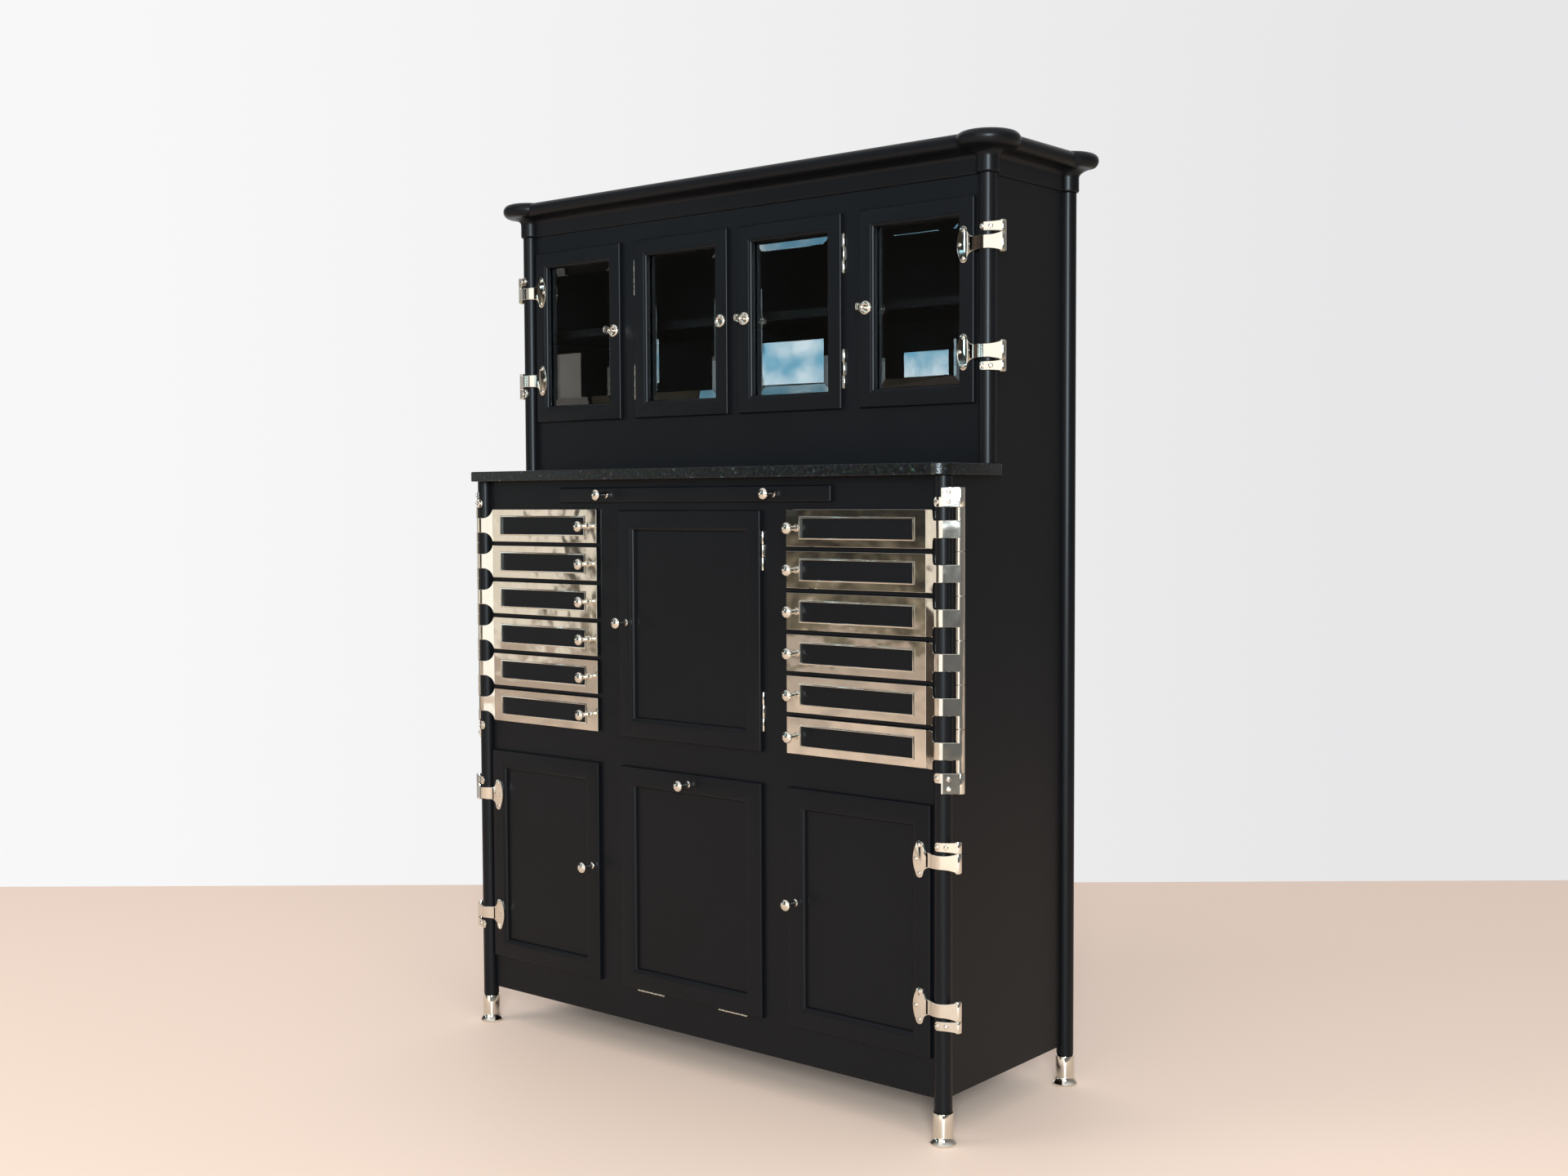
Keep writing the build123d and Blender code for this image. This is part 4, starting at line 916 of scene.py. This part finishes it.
def clamp_half(y, z, up):
    """Fixed half on a right-hand post, with its pin, above (1) or below (-1) the arm."""
    low = 14.9
    high = 31.9
    mid = (low + high) / 2
    pin = (pin_out, 0)
    outer, inner, face = round_the_post(post_r, leaf_t, -107, pin, knuckle_r)
    heights = []
    for i in range(len(outer)):
        early = max(0.0, 1 - i / 5)
        tall = 14 + 3 * flare(i, len(outer)) ** 2
        heights.append(tall * math.sqrt(1 - 0.93 * early ** 2))
    head = [(0, -0.3), (4.5, -0.3), (4.3, 0.8), (3.0, 1.4), (0, 1.5)]
    tail = [(0, -1.5), (3.0, -1.4), (4.3, -0.8), (4.5, 0.2), (0, 0.2)]
    parts = [strap(outer, inner, heights, mid), barrel(*pin, low, high, knuckle_r)]
    for outline in ([(r, high + h) for r, h in head], [(r, h - low) for r, h in tail]):
        parts.append(turned(outline, (*pin, 0), steps=24))
    seats = [round_seat(-93, leaf_t, mid), straight_seat(pin, face, leaf_t, knuckle_r, mid)]
    if up < 0:
        parts = [flipped(p) for p in parts]
        seats = [((px, py, -pz), way) for (px, py, pz), way in seats]
    return [shifted(p, half_width, y, z) for p in parts], seats_moved(seats, half_width, y, z)


clamp_parts, clamp_seats = [], []
for y, (lower, upper) in ((front_y, low_hinges), (upper_y, glass_hinges)):
    for z, up in ((lower, -1), (upper, 1)):
        parts, seats = clamp_half(y, z, up)
        clamp_parts += parts
        clamp_seats += seats


# Butt hinges of the inner doors and the bin: three plain nickel knuckles on a pin, their
# leaves let into the door edge and the face frame.
butt_length = 63.0
butt_r = 2.0
butt_gap = 0.2
butt_out = -2.4


def butt():
    """Moving and fixed parts about an upright axis, the door towards -X."""
    third = butt_length / 3
    middle = third / 2 - butt_gap
    moving = []
    fixed = [
        barrel(0, 0, -middle, middle, butt_r, 0.3, 20),
        board(-1.8, 2.0, 1.2, 2.4, -middle, middle),
        board(-0.8, 0.8, 0, 1.8, -middle, middle),
    ]
    for side in (-1, 1):
        z0, z1 = sorted((side * (third / 2 + butt_gap), side * butt_length / 2))
        moving.append(barrel(0, 0, z0, z1, butt_r, 0.3, 20))
        moving.append(board(-2.6, 0, -0.8, 0.8, z0 + butt_gap, z1 - butt_gap))
        pin = [(0, -0.5), (1.2, -0.5), (1.0, 0.5), (0, 0.6)]
        pin = [(r, side * (butt_length / 2 + h)) for r, h in pin]
        fixed.append(turned(pin, (0, 0, 0), steps=16))
    return moving, fixed


moving_butt, fixed_butt = butt()


def butt_pair(x, y, heights):
    """Moving and fixed parts of the two butt hinges of a door on the left of its axis."""
    return [[shifted(part, x, y, z) for z in heights for part in parts]
            for parts in (moving_butt, fixed_butt)]


def laid(part, x, y, z):
    """An upright butt hinge laid along X with its moving side up."""
    points, faces = part
    return [(pz + x, py + y, z - px) for px, py, pz in points], faces


glass_butts, butts_fixed = butt_pair(238.1, upper_y + butt_out, (1191.5, 1379.0))
butts_fixed = both(butts_fixed)
centre_butts, kept = butt_pair(163.6, butt_out, (633.5, 895.5))
butts_fixed += kept
bin_butts = []
for x in (-94, 94):
    bin_butts += [laid(p, x, butt_out, 125.4) for p in moving_butt]
    butts_fixed += [laid(p, x, butt_out, 125.4) for p in fixed_butt]
nickel_piece("fixed_hinge_metal", both(clamp_parts) + butts_fixed, "case", "fixed_hinge_halves")
clamp_seats += mirrored_seats(clamp_seats)
screws("clamp_screws", clamp_seats, clamp_screw_d, "case", seed=3)


# Metal on the lower doors and the bin, all nickel: two wrap hinges on each corner door,
# the moving knuckles of the butt hinges, and a knob on each.
corner_metal = [knob(233, -front_lip, 331)]
corner_seats = []
for z in low_hinges:
    parts, seats = leaf_half(corner_door_x[1], front_y, z)
    corner_metal += parts
    corner_seats += seats
nickel_piece("right_door_metal", corner_metal, "right_door", "right_door_fittings")
screws("right_door_screws", corner_seats, hinge_screw_d, "right_door", seed=11)
nickel_piece("left_door_metal", other_side(corner_metal), "left_door", "left_door_fittings")
screws("left_door_screws", mirrored_seats(corner_seats), hinge_screw_d, "left_door", seed=12)
centre_metal = centre_butts + [knob(-144, -front_lip, 767)]
nickel_piece("centre_door_metal", centre_metal, "centre_door", "centre_door_fittings")
nickel_piece("bin_metal", bin_butts + [knob(0, -front_lip, 499)], "tilt_bin", "bin_fittings")


# Glass doors: narrow moulded frames of lacquered wood with a bevelled plate bedded on
# beads. Each has a round nickel lock, with its key left in it on all but the second from
# the left.
glass_row = (1126.0, 1444.5)
outer_glass_x = (271.5, 494.5)
inner_glass_x = (12.5, 235.5)
glass_frame_width = 30
pane_y = (124, 130)
bead_y = (129, 133)
lock_inset = 15.0
lock_z = 1286.75
key_length = 10.0
bow_r = 8.0


def glass_frame(door_x):
    """Frame, core and the beads that hold the pane."""
    around = (*door_x, *glass_row)
    outside = inset(around, 11.5, 0)[:4]
    sight = inset(around, glass_frame_width, 0)[:4]
    seat = inset(around, 25.7, 0)[:4]
    return [
        door_frame(around, upper_y, glass_frame_width, 6),
        core_ring(outside, sight, upper_y + frame_seat, pane_y[0]),
        core_ring(outside, seat, *pane_y),
        core_ring(seat, sight, *bead_y),
    ]


def lock_plate(x):
    """Lock plate with a wide domed ring round a sunk keyway."""
    outline = [(0, 1.3), (2.2, 1.3), (2.3, 2.2), (4.0, 2.2), (4.3, 2.6), (5.2, 3.5), (6.6, 4.05)]
    outline += [(8.0, 4.2), (9.4, 4.0), (10.6, 3.3), (11.5, 2.2), (12.0, 0.9), (12.0, 0), (0, 0)]
    return turned(outline, (x, upper_y - front_lip, lock_z), lean=(0, -1, 0), steps=40)


def door_key(x):
    """Barrel key: shank, collar and a round pierced bow."""
    front = upper_y - front_lip - 3
    shank = [(0, -8.8), (1.9, -8.8), (2.0, -8.4), (2.0, 3.4), (3.0, 3.7), (3.3, 4.4)]
    shank += [(3.3, 5.8), (2.9, 6.5), (2.0, 6.9), (2.0, 10.4), (0, 10.4)]
    bow_y = front - key_length - bow_r + 1.6
    sides, steps = 10, 32
    wire_turns = [2 * math.pi * i / sides for i in range(sides)]
    section = [(bow_r - 2.5 + 2.5 * math.cos(t), 1.3 * math.sin(t)) for t in wire_turns]
    points = []
    for i in range(steps):
        turn = 2 * math.pi * i / steps
        up, out = math.sin(turn), math.cos(turn)
        points += [(x + h, bow_y + r * out, lock_z + r * up) for r, h in section]
    bow = points, skinned(sides, steps, closed=True)
    return [turned(shank, (x, front, lock_z), lean=(0, -1, 0), steps=24), bow]


def bevelled_glass():
    """Plate glass, ever so faintly rippled by rolling."""
    finish, tree, shader = new_finish("bevelled_glass", {
        "Base Color": (0.86, 0.93, 0.92, 1), "Transmission Weight": 1.0, "IOR": 1.52,
        "Roughness": 0.0,
    })
    place = node(tree, "ShaderNodeTexCoord")["Object"]
    feed(tree, shader, {"Normal": bumps(tree, noise(tree, place, 9, 1), 0.003, 0.002)})
    return finish


glass = bevelled_glass()
outer_leaves, outer_seats = [], []
for z in glass_hinges:
    parts, seats = leaf_half(outer_glass_x[1], upper_y, z)
    outer_leaves += parts
    outer_seats += seats
for number in (1, 2, 3, 4):
    body = f"glass_door_{number}"
    on_left = number < 3
    outer_one = number in (1, 4)
    door_x = outer_glass_x if outer_one else inner_glass_x
    lock_x = door_x[0] + lock_inset
    sash = glass_frame(door_x)
    metal = [lock_plate(lock_x)] + (outer_leaves if outer_one else glass_butts)
    key = door_key(lock_x)
    seats = outer_seats
    if on_left:
        sash, metal, key = other_side(sash), other_side(metal), other_side(key)
        seats = mirrored_seats(seats)
    joinery(f"{body}_sash", sash, body, f"{body}_frame")
    nickel_piece(f"{body}_metal", metal, body, f"{body}_fittings")
    repaint(f"{body}_pane", glass)
    if outer_one:
        screws(f"{body}_screws", seats, hinge_screw_d, body, seed=20 + number)
    if number != 2:
        nickel_piece(f"key_{number}_nickel", key, f"key_{number}", f"{body}_key")


# Swing-out drawers: each front is a nickel plate with a raised rim round a black window.
# Its end narrows to a band that wraps the post and closes on a barrel over the hinge rod.
top_drawer_z = 933.0
drawer_pitch = 66.4
drawer_count = 6
plate_x = (216.0, 488.0)
plate_high = 59.0
plate_front = -7.0
plate_back = -5.0
window_x = (246.0, 464.0)
window_high = 30.0
band_t = 2.0
band_high = 26.5
rod_at = (24.3, 8.0)
rod_barrel_r = 7.8
plate_nickel = nickel("hand_buffed_nickel_plate", 0.22, (0.76, 0.715, 0.62))


def band_height(x, side):
    """Height of a drawer's front near the post: scooped on the left, an ogee on the right."""
    scoop_x = -7.0
    ogee_x = -14.0
    corner_r = 4.0
    if x >= scoop_x + (side == "right"):
        return band_high
    if side == "left":
        scooped = ((drawer_pitch - band_high) / 2) ** 2 - (scoop_x - x) ** 2
        return min(plate_high, drawer_pitch - 2 * math.sqrt(max(0.0, scooped)))
    turn_in = x - ogee_x
    if turn_in <= 0:
        return plate_high
    if turn_in <= corner_r:
        return plate_high - 2 * (corner_r - math.sqrt(corner_r ** 2 - turn_in ** 2))
    left_over = max(0.0, 2 * corner_r - turn_in)
    return band_high + 2 * (corner_r - math.sqrt(corner_r ** 2 - left_over ** 2))


def drawer_front(z, side):
    """Plate, band and barrel of a drawer, drawn for the right-hand bank, and the window's rim."""
    outer = (*plate_x, z - plate_high / 2, z + plate_high / 2)
    window = (*window_x, z - window_high / 2, z + window_high / 2)
    rings = [(*outer, plate_back), (*outer, -6.5), inset(outer, 0.15, -6.85)]
    rings += [inset(outer, 0.5, plate_front), inset(window, -1.0, plate_front)]
    rings.append(inset(window, -1.0, plate_back))
    bead = [(-3.0, -6), (-3.0, -7.2), (-2.8, -8.2), (-2.3, -8.9), (-1.5, -9.1)]
    bead += [(-0.7, -8.9), (-0.2, -8.2), (0, -7.2), (0, -5)]
    rim = framed([inset(window, p, q) for p, q in bead])
    outer_line, inner_line = round_the_post(
        post_r + arm_gap, band_t, -112, rod_at, rod_barrel_r, 16, 5)[:2]
    lead_x = plate_x[1] - half_width
    outer_line = led_in((lead_x, plate_front), outer_line[0], 28) + outer_line
    inner_line = led_in((lead_x, plate_front + band_t), inner_line[0], 28) + inner_line
    heights = [band_height(x, side) for x, y in outer_line]
    band = shifted(strap(outer_line, inner_line, heights, z, 0.5), half_width, 0)
    reach = (drawer_pitch - 0.6) / 2
    round_rod = barrel(half_width + rod_at[0], rod_at[1], z - reach, z + reach, rod_barrel_r)
    return [framed(rings), band, round_rod], rim


for number in range(1, drawer_count + 1):
    z = top_drawer_z - drawer_pitch * (number - 1)
    for side in ("left", "right"):
        body = f"{side}_drawer_{number}"
        front_parts, rim = drawer_front(z, side)
        bright_parts = [knob(237, plate_front, z), rim]
        if side == "left":
            front_parts, bright_parts = other_side(front_parts), other_side(bright_parts)
        cabinet_piece(f"{body}_nickel_front", front_parts, plate_nickel, "nickel", body,
                      f"{body}_face", crease=18)
        nickel_piece(f"{body}_knob_and_rim", bright_parts, body)
        repaint(f"{body}_tray", black_level)


# Hinge rods of the drawers: an 8 mm nickel rod beside each front post, held at its ends
# by a bracket with a tall strap, two screws, and a short tab with a third.
rod_r = 4
bracket_t = 2.0
tab_shy = 0.04
tab_high = 15
top_bracket_high = 29
foot_bracket_high = 31
bracket_screw_d = 7.8


def rod_bracket(height, tab_mid, z0):
    """Bracket of a rod's end, drawn for the right-hand post, and its screw seats."""
    tall = round_the_post(post_r, bracket_t, -67, rod_at, rod_barrel_r, 8, 5)[:2]
    tab_out, tab_in, face = round_the_post(
        post_r, bracket_t - tab_shy, -116, rod_at, rod_barrel_r - tab_shy, 16, 5)
    tapers = [1 - 0.9 * max(0.0, 1 - i / 4) ** 2 for i in range(len(tab_out))]
    parts = [
        strap(*tall, [height] * len(tall[0]), height / 2, 0.5),
        strap(tab_out, tab_in, [tab_high * math.sqrt(t) for t in tapers], tab_mid, 0.5),
        barrel(*rod_at, 0, height, rod_barrel_r),
    ]
    seats = [straight_seat(rod_at, face, bracket_t, rod_barrel_r, z) for z in (8.0, 22.5)]
    seats.append(round_seat(-94, bracket_t, tab_mid))
    parts = [shifted(p, half_width, 0, z0) for p in parts]
    return parts, seats_moved(seats, half_width, 0, z0)


rod_top = top_drawer_z + drawer_pitch / 2
rod_foot = top_drawer_z - (drawer_count - 0.5) * drawer_pitch
rod = barrel(half_width + rod_at[0], rod_at[1], rod_foot, rod_top, rod_r)
top_parts, top_seats = rod_bracket(top_bracket_high, 7.5, rod_top)
foot_parts, foot_seats = rod_bracket(foot_bracket_high, 23.5, rod_foot - foot_bracket_high)
rod_parts = both([rod] + top_parts + foot_parts)
nickel_piece("hinge_rods_and_brackets", rod_parts, "case", "drawer_hinge_rods")
bracket_seats = top_seats + foot_seats
bracket_seats += mirrored_seats(bracket_seats)
screws("bracket_screws", bracket_seats, bracket_screw_d, "case", seed=5)
